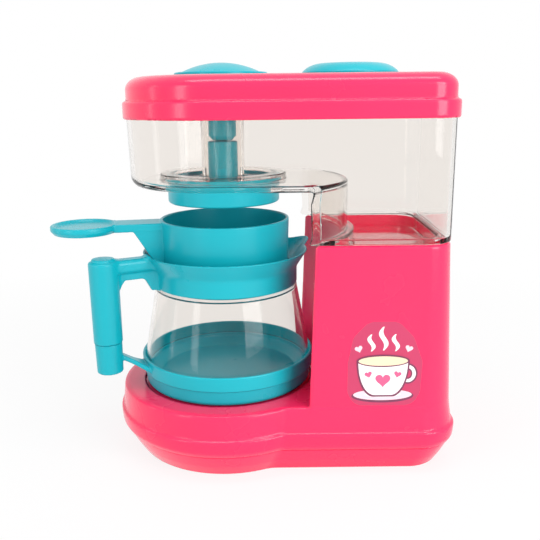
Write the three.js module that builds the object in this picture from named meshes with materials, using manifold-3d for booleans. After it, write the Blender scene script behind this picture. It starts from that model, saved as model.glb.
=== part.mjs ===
// Toy coffee maker: a moulded housing with a concave brewing bay, a clear water tank with a
// push valve, a lid that drops over the tank, and a carafe that carries a filter basket.
// Millimetres, +Z up. The origin is on the brewing axis, on the surface the toy stands on.
// +X points to the column, -Y to the front.

import * as THREE from 'three';
import { mergeVertices } from 'three/addons/utils/BufferGeometryUtils.js';
import Module from 'manifold-3d';

const wasm = await Module();
wasm.setup();

// Fits and shared walls
const seatGap = 0.3;
const runningGap = 0.5;
const wall = 2.3;
const cutOverrun = 2;
const bite = 0.8;
const roundSteps = 34;
const postSteps = 18;
const bossSteps = 8;
const cornerSteps = 4;
const edgeSteps = 2;
const baySteps = 7;

// Carafe dish
const dishRimRadius = 44.5;
const dishWall = 1.4;
const dishBandStep = 1.6;
const dishBandHeight = 7.6;
const dishHeight = 15.4;
const dishFootRadius = 35.5;
const dishFootWidth = 3;
const dishFootDepth = 1.2;
const dishFloor = 2;
const dishSwell = 5;
const dishEdge = 0.5;

// Clear wall of the carafe
const glassGap = 0.4;
const glassWall = 1.6;
const glassBandHeight = 6.2;
const glassHeight = 41.9;
const glassShoulderRadius = 36.3;
const glassShoulderDrop = 0.9;
const glassNeckInset = 2.3;
const glassNeckHeight = 4.2;

// Carafe collar with its pouring lip
const collarWall = 1.7;
const collarOverhang = 0.1;
const collarBandHeight = 8.5;
const collarFunnelHeight = 8.6;
const collarFlare = 5.5;
const collarRimWall = 1.2;
const collarLedgeWidth = 5.2;
const collarLedge = 1.8;
const lipReach = 5.6;
const lipRise = 1.9;
const lipAngle = 24;
const lipSpread = 15;

// Carafe handle: the upper moulding holds arm and grip, the lower one strut and sleeve
const handleAngle = 205;
const gripReach = 18;
const gripRadius = 7.05;
const gripFootRadius = 6.95;
const gripProud = 1.2;
const gripShoulder = 3.2;
const gripCrown = 1.3;
const sleeveRadius = 6.35;
const sleeveDrop = 2.9;
const sleeveHeight = 15.2;
const spigotRadius = 4.2;
const spigotHeight = 8;
const armWidth = 8.6;
const armHeight = 6.6;
const armRound = 2.2;
const armDrop = 0.2;
const handleWeb = 4;
const handleWebDrop = 10.4;
const handleWebFoot = 3.3;
const collarGussetRun = 6.7;
const gripGussetRun = 2.6;
const gripGussetDrop = 3.4;
const strutWidth = 6.5;
const strutFlare = 15;
const strutThickness = 2.2;
const strutRise = 8;
const strutDrop = 4.2;

// Filter basket
const basketSideGap = 2.9;
const basketTaper = 0.8;
const basketWall = 1.6;
const basketFloor = 1.8;
const basketHeight = 26.8;
const basketEdge = 0.5;
const drainHoleRadius = 1.3;
const drainRing = 16;
const drainHoles = 8;
const basketHandleAngle = 190;
const basketArmWidth = 15;
const basketArmThickness = 3.9;
const basketArmDrop = 0.7;
const basketWeb = 1.6;
const basketWebReach = 13;
const basketWebDrop = 21.5;
const paddleReach = 69;
const paddleRadius = 16.2;
const paddleThickness = 4.4;
const paddleRim = 2;
const paddleDish = 1.2;
const paddleEdge = 0.8;

// Base
const baseHeight = 34;
const partingHeight = 13;
const partingStep = 0.5;
const recessDepth = 1.3;
const recessGap = 0.9;
const recessLip = 0.8;
const deckThickness = 2.2;
const deckWidth = 12.9;
const flankStep = 7.4;
const blendRadius = 14;
const baseCorner = 18;
const panFloor = 2.2;
const panLipHeight = 2.5;
const panLipWall = 1.2;
const panLipRoot = 4;

// Flank of the base: height as a share of baseHeight, and how far the outline lies inside its
// widest form as a share of flankInset, first at the round end, then along the column's end
const flankInset = 10;
const roundEnd = 1;
const columnEnd = 2;
const flankShares = [
  [0, 0.95, 0.72], [0.02, 0.88, 0.66], [0.06, 0.8, 0.6], [0.18, 0.56, 0.42], [0.38, 0.24, 0.2],
  [0.47, 0.08, 0.06], [0.55, 0, 0], [0.7, 0.05, 0.09], [0.85, 0.18, 0.25], [0.93, 0.23, 0.31],
  [0.975, 0.27, 0.35], [0.99, 0.31, 0.39], [1, 0.38, 0.45],
];

// Column
const bayGap = 5.2;
const columnLength = 50.4;
const columnFootInset = 2.9;
const columnTopInset = 5.5;
const columnEndTaper = 3.4;
const columnTopCorner = 11.5;
const columnEdge = 2.5;
const columnRecess = 10.2;
const columnRim = 0.7;
const columnFootZ = 20;

// Screws that hold the bottom cover, and their bosses
const screwHeadRadius = 2.9;
const screwHeadHeight = 1.9;
const screwCrownShare = 0.7;
const screwRadius = 1.4;
const screwLength = 13;
const screwTip = 2.5;
const screwCrossWidth = 0.8;
const screwCrossLength = 3;
const screwCrossDepth = 0.9;
const counterbore = 3.2;
const bossRadius = 3.6;
const panBossHeight = 5;
const bossRib = 1.6;
const frontScrewX = -27;
const frontScrewY = 24;
const rearScrewX = 90;
const rearScrewY = 27;
const rearBossHeight = 30;

// Water tank
const basketClearance = 8.4;
const tankDrop = 22.9;
const tankHeight = 37.1;
const tankWall = 2;
const tankFloor = 2.7;
const tankSideStep = 0.7;
const tankSideFlare = 2.2;
const tankCornerFlare = 1.5;
const tankBayGap = 0.7;
const tankRound = 4.5;
const plugDepth = 7.5;
const grooveGap = 0.6;
const grooveWall = 1.5;
const grooveHeight = 3;
const floorHoleGap = 1.1;

// Guide tube and its seat ring
const guideGap = 1.8;
const guideWall = 1.4;
const guideNotchWidth = 5;
const guideNotchHeight = 5;
const guideSeatWall = 1.2;
const guideSeatHeight = 1.6;

// Valve
const stemRadius = 7.3;
const stemBore = 5;
const stemHead = 18;
const stemCrown = 8.5;
const stemEdge = 0.6;
const stemFlangeWidth = 3.3;
const stemFlange = 1.5;
const sealThickness = 1.4;
const springRadius = 3.8;
const springWire = 0.45;
const springTurns = 6;
const springSteps = 8;
const springSides = 4;
const springPegRadius = 2.6;
const springPegHeight = 3;

// Drip cap
const dripCapRadius = 27;
const dripCapHeight = 8.6;
const dripCapWall = 1.7;
const dripCapFloor = 1.5;
const dripCapEdge = 1;
const dripCapBead = 1.3;
const dripCapBeadHeight = 1.6;
const dripHoleRadius = 1.4;
const dripRing = 18;
const dripHoles = 6;

// Push button and rod
const buttonTravel = 3.5;
const buttonRadius = 22.5;
const buttonWall = 1.6;
const buttonProud = 1.9;
const buttonSkirt = 5;
const buttonEdge = 0.8;
const domeRadius = 19.2;
const domeRise = 5;
const domeSteps = 4;
const wellGap = 0.7;
const rodStep = 0.5;
const rodNeck = 4.7;
const rodTip = 2.2;
const rodPegRadius = 3.2;
const rodPegHeight = 4.5;
const pegSocketWall = 1.8;

// Lid
const lidOverlap = 5.75;
const lidSkirt = 8.05;
const lidHeight = 19.45;
const lidWall = 1.2;
const lidStep = 2.3;
const lidStepRound = 0.9;
const lidRound = 6;
const lidTop = 2;
const lidHollowRun = 2;
const lidHollowDrop = 3;
const wellWall = 1.6;
const guideSocketDepth = 5;
const portWall = 1.6;
const portDepth = 6;

// Filler cap
const capCentre = 62.1;
const capRadius = 23.2;
const capHeight = 6.3;
const capBrim = 1.5;
const capPlugInset = 3.2;
const capPlugDepth = 5;
const capFlatRadius = 13.5;
const capDish = 0.5;
const capWall = 1.8;
const capSteps = 4;

// Heights, from the ground up
const recessZ = baseHeight - recessDepth;
const dishFootZ = recessZ + seatGap;
const dishRimZ = dishFootZ + dishHeight;
const glassFootZ = dishRimZ - glassBandHeight;
const glassShoulderZ = glassFootZ + glassHeight;
const glassTopZ = glassShoulderZ + glassNeckHeight;
const collarFootZ = glassShoulderZ + seatGap;
const collarBandZ = collarFootZ + collarBandHeight;
const collarRimZ = collarBandZ + collarFunnelHeight;
const collarLedgeZ = glassTopZ + seatGap;
const collarSeatZ = collarLedgeZ + collarLedge;
const basketFootZ = collarSeatZ + seatGap;
const basketRimZ = basketFootZ + basketHeight;
const dripCapZ = basketRimZ + basketClearance;
const dripFloorZ = dripCapZ + dripCapFloor;
const tankUnderZ = dripCapZ + dripCapHeight + seatGap;
const tankFloorZ = tankUnderZ + tankFloor;
const tankTopZ = tankUnderZ + tankHeight;
const tankSeatZ = tankUnderZ - tankDrop;
const columnTopZ = tankSeatZ - seatGap;
const columnDeckZ = columnTopZ - columnRecess;
const lidSeatZ = tankTopZ + seatGap;
const lidFootZ = lidSeatZ - lidOverlap;
const lidTopZ = lidFootZ + lidHeight;
const buttonBrimZ = lidTopZ + buttonProud;
const buttonFootZ = buttonBrimZ - buttonSkirt;
const wellFloorZ = buttonFootZ - buttonTravel - runningGap;
const wellUnderZ = wellFloorZ - wellWall;
const stemTopZ = tankFloorZ + stemHead;
const stemFlangeZ = tankUnderZ - sealThickness - 2 * seatGap;
const stemFootZ = stemFlangeZ - stemFlange;
const stemBoreZ = stemTopZ - stemCrown;
const grooveTopZ = tankFloorZ + grooveHeight - grooveWall;
const sleeveFootZ = dishRimZ - sleeveDrop;
const sleeveTopZ = sleeveFootZ + sleeveHeight;
const gripFootZ = sleeveTopZ + seatGap;
const gripTopZ = collarRimZ + gripProud;

// Plan sizes
const recessRadius = dishRimRadius - dishBandStep + recessGap;
const baseRadius = recessRadius + deckWidth;
const baseHalf = baseRadius - flankStep;
const bayRadius = baseRadius + bayGap;
const baseRight = bayRadius + columnLength;
const columnTopHalf = baseHalf - columnTopInset;
const columnTopRight = baseRight - columnFootInset - columnEndTaper;
const tankSeatHalf = columnTopHalf + tankSideStep;
const tankTopHalf = columnTopHalf + tankSideFlare;
const tankTopCorner = columnTopCorner + tankCornerFlare;
const glassRadius = dishRimRadius - dishWall - glassGap;
const glassNeck = glassShoulderRadius - glassNeckInset;
const collarBandRadius = glassShoulderRadius + collarOverhang;
const collarBore = glassNeck + seatGap;
const collarRim = collarBandRadius + collarFlare;
const basketRadius = collarBandRadius - collarWall - basketSideGap;
const gripAxis = dishRimRadius + gripReach;
const guideRadius = stemRadius + guideGap + guideWall;
const guideSeat = guideRadius + seatGap;
const rodRadius = stemRadius - rodStep;

const colours = {
  pink: { color: 0xff3b6f, roughness: 0.32, metalness: 0 },
  turquoise: { color: 0x33c4d2, roughness: 0.35, metalness: 0 },
  clear: { color: 0xf1ebe8, roughness: 0.08, metalness: 0, transparent: true, opacity: 0.3 },
  rubber: { color: 0x2b2b2d, roughness: 0.8, metalness: 0 },
  steel: { color: 0xb9bcc0, roughness: 0.3, metalness: 0.9 },
};

// Solids

function solid(geometry) {
  const bare = geometry.clone();
  bare.deleteAttribute('normal');
  bare.deleteAttribute('uv');
  const merged = mergeVertices(bare);
  const corners = merged.index.array;
  const triangles = [];
  for (let i = 0; i < corners.length; i += 3) {
    const [a, b, c] = [corners[i], corners[i + 1], corners[i + 2]];
    if (a !== b && b !== c && c !== a) triangles.push(a, b, c);
  }
  const vertProperties = new Float32Array(merged.attributes.position.array);
  const triVerts = new Uint32Array(triangles);
  return new wasm.Manifold(new wasm.Mesh({ numProp: 3, vertProperties, triVerts }));
}

function toGeometry(shape) {
  const mesh = shape.getMesh();
  const geometry = new THREE.BufferGeometry();
  geometry.setAttribute('position', new THREE.Float32BufferAttribute(mesh.vertProperties, 3));
  geometry.setIndex(Array.from(mesh.triVerts));
  const faceted = geometry.toNonIndexed();
  faceted.computeVertexNormals();
  return faceted;
}

function union(...shapes) {
  return shapes.reduce((sum, shape) => sum.add(shape));
}

function cut(shape, ...tools) {
  return tools.reduce((rest, tool) => rest.subtract(tool), shape);
}

// A solid of revolution from [radius, height] points, closed on the axis or on itself
function revolve(profile, steps = roundSteps) {
  const closed = profile[0][0] !== 0 ? [...profile, profile[0]] : profile;
  const points = closed.map(([radius, z]) => new THREE.Vector2(radius, z));
  const geometry = new THREE.LatheGeometry(points, steps);
  geometry.rotateX(Math.PI / 2);
  return solid(geometry);
}

function cylinder(radius, low, high, steps = roundSteps) {
  return revolve([[0, low], [radius, low], [radius, high], [0, high]], steps);
}

function post(x, y, radius, low, high) {
  return cylinder(radius, low, high, bossSteps).translate([x, y, 0]);
}

function block(width, depth, low, high) {
  const geometry = new THREE.BoxGeometry(width, depth, high - low);
  geometry.translate(0, 0, (low + high) / 2);
  return solid(geometry);
}

// A closed solid through outlines of equal point count, each { outline: [[x, y]...], z }
function loft(levels) {
  const count = levels[0].outline.length;
  const positions = levels.flatMap(({ outline, z }) => outline.flatMap(([x, y]) => [x, y, z]));
  const faces = [];
  for (let level = 0; level + 1 < levels.length; level += 1) {
    for (let i = 0; i < count; i += 1) {
      const a = level * count + i;
      const b = level * count + ((i + 1) % count);
      faces.push(a, b, b + count, a, b + count, a + count);
    }
  }
  const last = (levels.length - 1) * count;
  for (const [a, b, c] of capTriangles(levels[0].outline)) faces.push(c, b, a);
  for (const [a, b, c] of capTriangles(levels.at(-1).outline)) faces.push(last + a, last + b, last + c);
  const geometry = new THREE.BufferGeometry();
  geometry.setAttribute('position', new THREE.Float32BufferAttribute(positions, 3));
  geometry.setIndex(faces);
  return solid(geometry);
}

function capTriangles(outline) {
  return THREE.ShapeUtils.triangulateShape(outline.map(([x, y]) => new THREE.Vector2(x, y)), []);
}

// A flat plate whose outline is drawn in [radius, height], standing on the radius at angle 0
function plate(outline, thickness, offset = 0) {
  const shape = new THREE.Shape(outline.map(([radius, z]) => new THREE.Vector2(radius, z)));
  const geometry = new THREE.ExtrudeGeometry(shape, { depth: thickness, bevelEnabled: false });
  geometry.rotateX(Math.PI / 2);
  geometry.translate(0, thickness / 2 + offset, 0);
  return solid(geometry);
}

function turned(shape, angle) {
  return shape.rotate([0, 0, angle]);
}

function around(count, make) {
  return Array.from({ length: count }, (_, i) => make((i * 360) / count));
}

// Outlines

const toRadians = THREE.MathUtils.degToRad;
const toDegrees = THREE.MathUtils.radToDeg;

function arc(x, y, radius, from, to, steps) {
  return Array.from({ length: steps + 1 }, (_, i) => {
    const angle = toRadians(from + ((to - from) * i) / steps);
    return [x + radius * Math.cos(angle), y + radius * Math.sin(angle)];
  });
}

function mix(from, to, share) {
  return from + (to - from) * share;
}

function readShares(table, share, column) {
  const next = Math.max(1, table.findIndex(([at]) => at >= share));
  const low = table[next - 1];
  const high = table[next];
  return mix(low[column], high[column], (share - low[0]) / (high[0] - low[0]));
}

// A quarter round as [run, rise] pairs, from the foot of the round to its end
function quarter(radius, steps) {
  return arc(0, 0, radius, 0, 90, steps).map(([x, y]) => [radius - x, y]);
}

// Round end about the axis, blended into the straight flanks of the column's end, which can
// be pulled in further than the round end
function baseOutline(inset, pull) {
  const blendY = baseHalf - pull + blendRadius;
  const blendX = Math.sqrt((baseRadius + blendRadius) ** 2 - blendY ** 2);
  const meet = toDegrees(Math.atan2(blendY, blendX));
  const cornerX = baseRight - pull - baseCorner;
  const cornerY = baseHalf - pull - baseCorner;
  const corner = baseCorner - inset;
  const blend = blendRadius + inset;
  return [
    ...arc(cornerX, -cornerY, corner, -90, 0, cornerSteps),
    ...arc(cornerX, cornerY, corner, 0, 90, cornerSteps),
    ...arc(blendX, blendY, blend, -90, meet - 180, edgeSteps),
    ...arc(0, 0, baseRadius - inset, meet, 360 - meet, 3 * baySteps).slice(1, -1),
    ...arc(blendX, -blendY, blend, 180 - meet, 90, edgeSteps),
  ];
}

// Straight flanks and end, and a concave wall that follows the round carafe
function columnOutline({ half, right, corner, bay }, inset = 0) {
  const side = half - inset;
  const end = right - inset;
  const round = corner - inset;
  const hollow = bay + inset;
  const edgeY = side - columnEdge;
  const edgeX = Math.sqrt((hollow + columnEdge) ** 2 - edgeY ** 2);
  const meet = toDegrees(Math.atan2(edgeY, edgeX));
  return [
    ...arc(end - round, round - side, round, -90, 0, cornerSteps),
    ...arc(end - round, side - round, round, 0, 90, cornerSteps),
    ...arc(edgeX, edgeY, columnEdge, 90, 180 + meet, edgeSteps),
    ...arc(0, 0, hollow, meet, -meet, baySteps).slice(1, -1),
    ...arc(edgeX, -edgeY, columnEdge, 180 - meet, 270, edgeSteps),
  ];
}

// Half round about the axis, straight flanks and a square end with round corners
function tankOutline({ half, right, corner }, inset = 0) {
  const side = half - inset;
  const end = right - inset;
  const round = corner - inset;
  return [
    ...arc(end - round, round - side, round, -90, 0, cornerSteps),
    ...arc(end - round, side - round, round, 0, 90, cornerSteps),
    ...arc(0, 0, side, 90, 270, 2 * baySteps),
  ];
}

// Housing

function flankOutline(z, inset) {
  const round = flankInset * readShares(flankShares, z / baseHeight, roundEnd);
  const end = flankInset * readShares(flankShares, z / baseHeight, columnEnd);
  return baseOutline(round + inset, end - round);
}

function baseLevels(low, high, inset) {
  const inner = flankShares.map(([share]) => share * baseHeight).filter((z) => z > low && z < high);
  return [low, ...inner, high].map((z) => ({ outline: flankOutline(z, inset), z }));
}

function columnSizes(z) {
  const share = Math.max(0, (z - baseHeight) / (columnTopZ - baseHeight));
  return {
    half: mix(baseHalf - columnFootInset, columnTopHalf, share),
    right: mix(baseRight - columnFootInset, columnTopRight, share),
    corner: mix(baseCorner - columnFootInset, columnTopCorner, share),
    bay: bayRadius,
  };
}

function columnForm(top, inset) {
  const levels = [columnFootZ, baseHeight, top];
  return loft(levels.map((z) => ({ outline: columnOutline(columnSizes(z), inset), z })));
}

function columnBody() {
  const body = columnForm(columnTopZ - columnRim, 0);
  const rim = loft([
    { outline: columnOutline(columnSizes(columnTopZ), 0), z: columnTopZ - columnRim },
    { outline: columnOutline(columnSizes(columnTopZ), columnRim), z: columnTopZ },
  ]);
  return body.add(rim);
}

function columnPocket() {
  const sizes = columnSizes(columnTopZ);
  return loft([
    { outline: columnOutline(sizes, wall), z: columnDeckZ },
    { outline: columnOutline(sizes, wall), z: columnTopZ + cutOverrun },
  ]);
}

function carafeRecess() {
  return revolve([
    [0, recessZ],
    [recessRadius, recessZ],
    [recessRadius, baseHeight - recessLip],
    [recessRadius + recessLip, baseHeight],
    [recessRadius + recessLip, baseHeight + cutOverrun],
    [0, baseHeight + cutOverrun],
  ]);
}

function screwPlaces() {
  return [
    [frontScrewX, -frontScrewY],
    [frontScrewX, frontScrewY],
    [rearScrewX, -rearScrewY],
    [rearScrewX, rearScrewY],
  ];
}

const housingBossZ = panFloor + panBossHeight + seatGap;
const rearBossZ = housingBossZ + rearBossHeight;

function housingBosses() {
  const ribZ = partingHeight + panLipHeight + runningGap;
  const ribLength = baseHalf - rearScrewY;
  const clip = union(
    loft(baseLevels(0, baseHeight, wall / 2)),
    columnForm(columnTopZ, wall / 2),
  );
  const bosses = screwPlaces().map(([x, y]) => {
    if (x < 0) return post(x, y, bossRadius, housingBossZ, recessZ - deckThickness / 2);
    const rib = block(bossRib, ribLength, ribZ, rearBossZ);
    const ribY = Math.sign(y) * (rearScrewY + ribLength / 2);
    return union(post(x, y, bossRadius, housingBossZ, rearBossZ), rib.translate([x, ribY, 0]));
  });
  return union(...bosses).intersect(clip);
}

function baseHousing() {
  const lowZ = partingHeight + seatGap / 2;
  const outer = union(loft(baseLevels(lowZ, baseHeight, 0)), columnBody());
  const inner = union(
    loft(baseLevels(partingHeight - cutOverrun, recessZ - deckThickness, wall)),
    columnForm(columnDeckZ - deckThickness, wall),
  );
  const shell = cut(outer, inner, columnPocket(), carafeRecess());
  const pilots = screwPlaces().map(([x, y]) =>
    post(x, y, screwRadius + seatGap, housingBossZ - cutOverrun, housingBossZ + screwLength));
  return cut(union(shell, housingBosses()), ...pilots);
}

function baseCover() {
  const topZ = partingHeight - seatGap / 2;
  const outer = loft(baseLevels(0, topZ, 0).map(({ z }, i, all) => ({
    outline: flankOutline(z, i === all.length - 1 ? partingStep : 0),
    z,
  })));
  const inner = loft(baseLevels(panFloor, topZ, wall + partingStep)
    .map(({ outline, z }) => ({ outline, z: z === topZ ? topZ + cutOverrun : z })));
  const lipInset = wall + seatGap;
  const lipLow = topZ - panLipRoot;
  const lipHigh = partingHeight + panLipHeight;
  const lipForm = (low, high, inset) =>
    loft([low, high].map((z) => ({ outline: flankOutline(partingHeight, inset), z })));
  const lip = cut(
    lipForm(lipLow, lipHigh, lipInset),
    lipForm(lipLow - cutOverrun, lipHigh + cutOverrun, lipInset + panLipWall),
  );
  const bosses = screwPlaces().map(([x, y]) =>
    post(x, y, bossRadius + bite, panFloor - bite, panFloor + panBossHeight));
  const holes = screwPlaces().flatMap(([x, y]) => [
    post(x, y, screwHeadRadius + runningGap, -cutOverrun, counterbore),
    post(x, y, screwRadius + runningGap, -cutOverrun, panFloor + panBossHeight + cutOverrun),
  ]);
  return cut(union(cut(outer, inner), lip, ...bosses), ...holes);
}

function coverScrew([x, y]) {
  const headTop = counterbore - seatGap;
  const headLow = headTop - screwHeadHeight;
  const body = revolve([
    [0, headLow],
    [screwHeadRadius * screwCrownShare, headLow],
    [screwHeadRadius, headLow + screwHeadHeight / 2],
    [screwHeadRadius, headTop],
    [screwRadius, headTop],
    [screwRadius, headTop + screwLength - screwTip],
    [0, headTop + screwLength],
  ], bossSteps);
  const bar = block(screwCrossLength, screwCrossWidth, headLow - cutOverrun, headLow + screwCrossDepth);
  return cut(body, bar, turned(bar, 90)).translate([x, y, 0]);
}

// Water tank

function tankSizes(z) {
  const share = (z - tankSeatZ) / (tankTopZ - tankSeatZ);
  return {
    half: mix(tankSeatHalf, tankTopHalf, share),
    right: columnTopRight,
    corner: mix(columnTopCorner, tankTopCorner, share),
  };
}

function tankBox(low, high, inset) {
  return loft([low, high].map((z) => ({ outline: tankOutline(tankSizes(z), inset), z })));
}

// Everything on the carafe's side of the concave wall, up to a height
function bayTool(low, high, bay) {
  const reach = 2 * baseRadius;
  return loft([low, high].map((z) => {
    const { half } = tankSizes(z);
    const edgeY = half - columnEdge;
    const edgeX = Math.sqrt((bay + columnEdge) ** 2 - edgeY ** 2);
    const meet = toDegrees(Math.atan2(edgeY, edgeX));
    const outline = [
      [-reach, -reach],
      [edgeX, -reach],
      ...arc(edgeX, -edgeY, columnEdge, 270, 180 - meet, edgeSteps),
      ...arc(0, 0, bay, -meet, meet, baySteps).slice(1, -1),
      ...arc(edgeX, edgeY, columnEdge, 180 + meet, 90, edgeSteps),
      [edgeX, reach],
      [-reach, reach],
    ];
    return { outline, z };
  }));
}

function shoulderRound() {
  const levels = quarter(tankRound, cornerSteps).map(([run, rise]) => {
    const z = tankUnderZ + tankRound - rise;
    return { outline: tankOutline(tankSizes(z), run), z };
  });
  return loft(levels.reverse());
}

function tankShell() {
  const bay = bayRadius - tankBayGap;
  const ledgeZ = tankSeatZ + tankWall;
  const plugZ = tankSeatZ - plugDepth;
  const plugInset = wall + seatGap;
  const plugSizes = columnSizes(columnTopZ);
  const plug = (low, high, inset) =>
    loft([low, high].map((z) => ({ outline: columnOutline(plugSizes, inset), z })));
  const upper = union(tankBox(tankUnderZ + tankRound, tankTopZ, 0), shoulderRound());
  const lower = cut(
    tankBox(tankSeatZ, tankUnderZ + tankRound, 0),
    bayTool(tankSeatZ - cutOverrun, tankUnderZ + tankRound + cutOverrun, bay),
  );
  const outer = union(upper, lower, plug(plugZ, ledgeZ, plugInset));
  const inner = cut(
    tankBox(ledgeZ, tankTopZ + cutOverrun, tankWall),
    bayTool(ledgeZ - cutOverrun, tankFloorZ, bay + tankWall),
  );
  return cut(outer, inner, plug(plugZ + tankWall, ledgeZ + bite, plugInset + tankWall));
}

function waterTank() {
  const grooveInner = dripCapRadius - dripCapWall - grooveGap;
  const grooveOuter = dripCapRadius + dripCapBead + grooveGap;
  const channel = revolve([
    [grooveInner - grooveWall, tankFloorZ - bite],
    [grooveOuter + grooveWall, tankFloorZ - bite],
    [grooveOuter + grooveWall, tankFloorZ + grooveHeight],
    [grooveInner - grooveWall, tankFloorZ + grooveHeight],
  ]);
  const groove = revolve([
    [grooveInner, tankUnderZ - cutOverrun],
    [grooveOuter, tankUnderZ - cutOverrun],
    [grooveOuter, grooveTopZ],
    [grooveInner, grooveTopZ],
  ]);
  const seat = revolve([
    [guideSeat, tankFloorZ - bite],
    [guideSeat + guideSeatWall, tankFloorZ - bite],
    [guideSeat + guideSeatWall, tankFloorZ + guideSeatHeight],
    [guideSeat, tankFloorZ + guideSeatHeight],
  ], postSteps);
  const holeRadius = stemRadius + floorHoleGap;
  const hole = cylinder(holeRadius, tankUnderZ - cutOverrun, tankFloorZ + cutOverrun, postSteps);
  return cut(union(tankShell(), channel, seat), groove, hole);
}

function guideTube() {
  const low = tankFloorZ + seatGap;
  const high = wellUnderZ - seatGap;
  const tube = revolve([
    [guideRadius - guideWall, low],
    [guideRadius, low],
    [guideRadius, high],
    [guideRadius - guideWall, high],
  ], postSteps);
  const slot = block(2 * guideRadius + cutOverrun, guideNotchWidth, low - cutOverrun, low + guideNotchHeight);
  return cut(tube, slot, turned(slot, 90));
}

// Valve

function valveStem() {
  const flange = stemRadius + stemFlangeWidth;
  return revolve([
    [0, stemBoreZ],
    [stemBore, stemBoreZ],
    [stemBore, stemFootZ],
    [flange, stemFootZ],
    [flange, stemFlangeZ],
    [stemRadius, stemFlangeZ],
    [stemRadius, stemTopZ - stemEdge],
    [stemRadius - stemEdge, stemTopZ],
    [0, stemTopZ],
  ], postSteps);
}

function valveSeal() {
  const low = stemFlangeZ + seatGap;
  const inner = stemRadius + seatGap;
  const outer = stemRadius + stemFlangeWidth - seatGap;
  return revolve([
    [inner, low],
    [outer, low],
    [outer, low + sealThickness],
    [inner, low + sealThickness],
  ], postSteps);
}

function valveSpring() {
  const low = dripFloorZ + springWire + seatGap;
  const high = stemBoreZ - springWire - seatGap;
  const points = Array.from({ length: springTurns * springSteps + 1 }, (_, i) => {
    const angle = (2 * Math.PI * i) / springSteps;
    const z = mix(low, high, i / (springTurns * springSteps));
    return new THREE.Vector3(springRadius * Math.cos(angle), springRadius * Math.sin(angle), z);
  });
  const section = arc(0, 0, springWire, 0, 360, springSides).slice(1);
  const shape = new THREE.Shape(section.map(([x, y]) => new THREE.Vector2(x, y)));
  const extrudePath = new THREE.CatmullRomCurve3(points);
  const steps = springTurns * springSteps;
  return solid(new THREE.ExtrudeGeometry(shape, { extrudePath, steps, bevelEnabled: false }));
}

function dripCap() {
  const inner = dripCapRadius - dripCapWall;
  const topZ = grooveTopZ - seatGap;
  const beadZ = tankUnderZ + seatGap;
  const body = revolve([
    [0, dripCapZ],
    [dripCapRadius - dripCapEdge, dripCapZ],
    [dripCapRadius, dripCapZ + dripCapEdge],
    [dripCapRadius, beadZ],
    [dripCapRadius + dripCapBead, beadZ],
    [dripCapRadius + dripCapBead, beadZ + dripCapBeadHeight],
    [dripCapRadius, topZ],
    [inner, topZ],
    [inner, dripFloorZ],
    [springPegRadius, dripFloorZ],
    [springPegRadius, dripFloorZ + springPegHeight],
    [0, dripFloorZ + springPegHeight],
  ]);
  const holes = around(dripHoles, (angle) =>
    turned(post(dripRing, 0, dripHoleRadius, dripCapZ - cutOverrun, dripFloorZ + cutOverrun), angle));
  return cut(body, ...holes);
}

// Button

function domeProfile() {
  const sphere = (domeRadius ** 2 + domeRise ** 2) / (2 * domeRise);
  const spread = toDegrees(Math.asin(domeRadius / sphere));
  return arc(0, buttonBrimZ + domeRise - sphere, sphere, 90, 90 - spread, domeSteps);
}

function pushButton() {
  const [, ...dome] = domeProfile();
  const underZ = buttonBrimZ - buttonWall;
  const socket = rodPegRadius + seatGap;
  return revolve([
    [0, buttonBrimZ + domeRise],
    ...dome,
    [buttonRadius - buttonEdge, buttonBrimZ],
    [buttonRadius, buttonBrimZ - buttonEdge],
    [buttonRadius, buttonFootZ],
    [buttonRadius - buttonWall, buttonFootZ],
    [buttonRadius - buttonWall, underZ],
    [socket + pegSocketWall, underZ],
    [socket + pegSocketWall, buttonFootZ],
    [socket, buttonFootZ],
    [socket, buttonFootZ + rodPegHeight],
    [0, buttonFootZ + rodPegHeight],
  ].reverse());
}

function pushRod() {
  const low = stemTopZ + seatGap;
  const shoulderZ = wellUnderZ - seatGap;
  const neckZ = buttonFootZ - seatGap;
  return revolve([
    [0, low],
    [rodNeck, low],
    [rodRadius, low + rodTip],
    [rodRadius, shoulderZ],
    [rodNeck, shoulderZ],
    [rodNeck, neckZ],
    [rodPegRadius, neckZ],
    [rodPegRadius, neckZ + rodPegHeight],
    [0, neckZ + rodPegHeight],
  ], postSteps);
}

// Lid

function lidSizes() {
  const { half, right, corner } = tankSizes(tankTopZ);
  const grow = seatGap + lidWall;
  return { half: half + grow, right: right + grow, corner: corner + grow };
}

function lidForm() {
  const sizes = lidSizes();
  const stepZ = lidFootZ + lidSkirt;
  const level = (z, inset) => ({ outline: tankOutline(sizes, inset), z });
  const stepRound = quarter(lidStepRound, edgeSteps).map(([run, rise]) =>
    level(stepZ - lidStepRound + rise, run));
  const topRound = quarter(lidRound, cornerSteps).map(([run, rise]) =>
    level(lidTopZ - lidRound + rise, lidStep + run));
  return loft([level(lidFootZ, 0), ...stepRound, level(stepZ, lidStep), ...topRound]);
}

function lidHollow() {
  const sizes = lidSizes();
  const skirt = (z) => ({ outline: tankOutline(sizes, lidWall), z });
  const upperInset = lidWall + seatGap + tankWall;
  const upper = (z, run) => ({ outline: tankOutline(sizes, upperInset + run), z });
  const topZ = lidTopZ - lidTop;
  return union(
    loft([skirt(lidFootZ - cutOverrun), skirt(lidSeatZ)]),
    loft([upper(lidSeatZ - cutOverrun, 0), upper(topZ - lidHollowDrop, 0), upper(topZ, lidHollowRun)]),
  );
}

const portRadius = capRadius - capPlugInset + seatGap;

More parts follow.
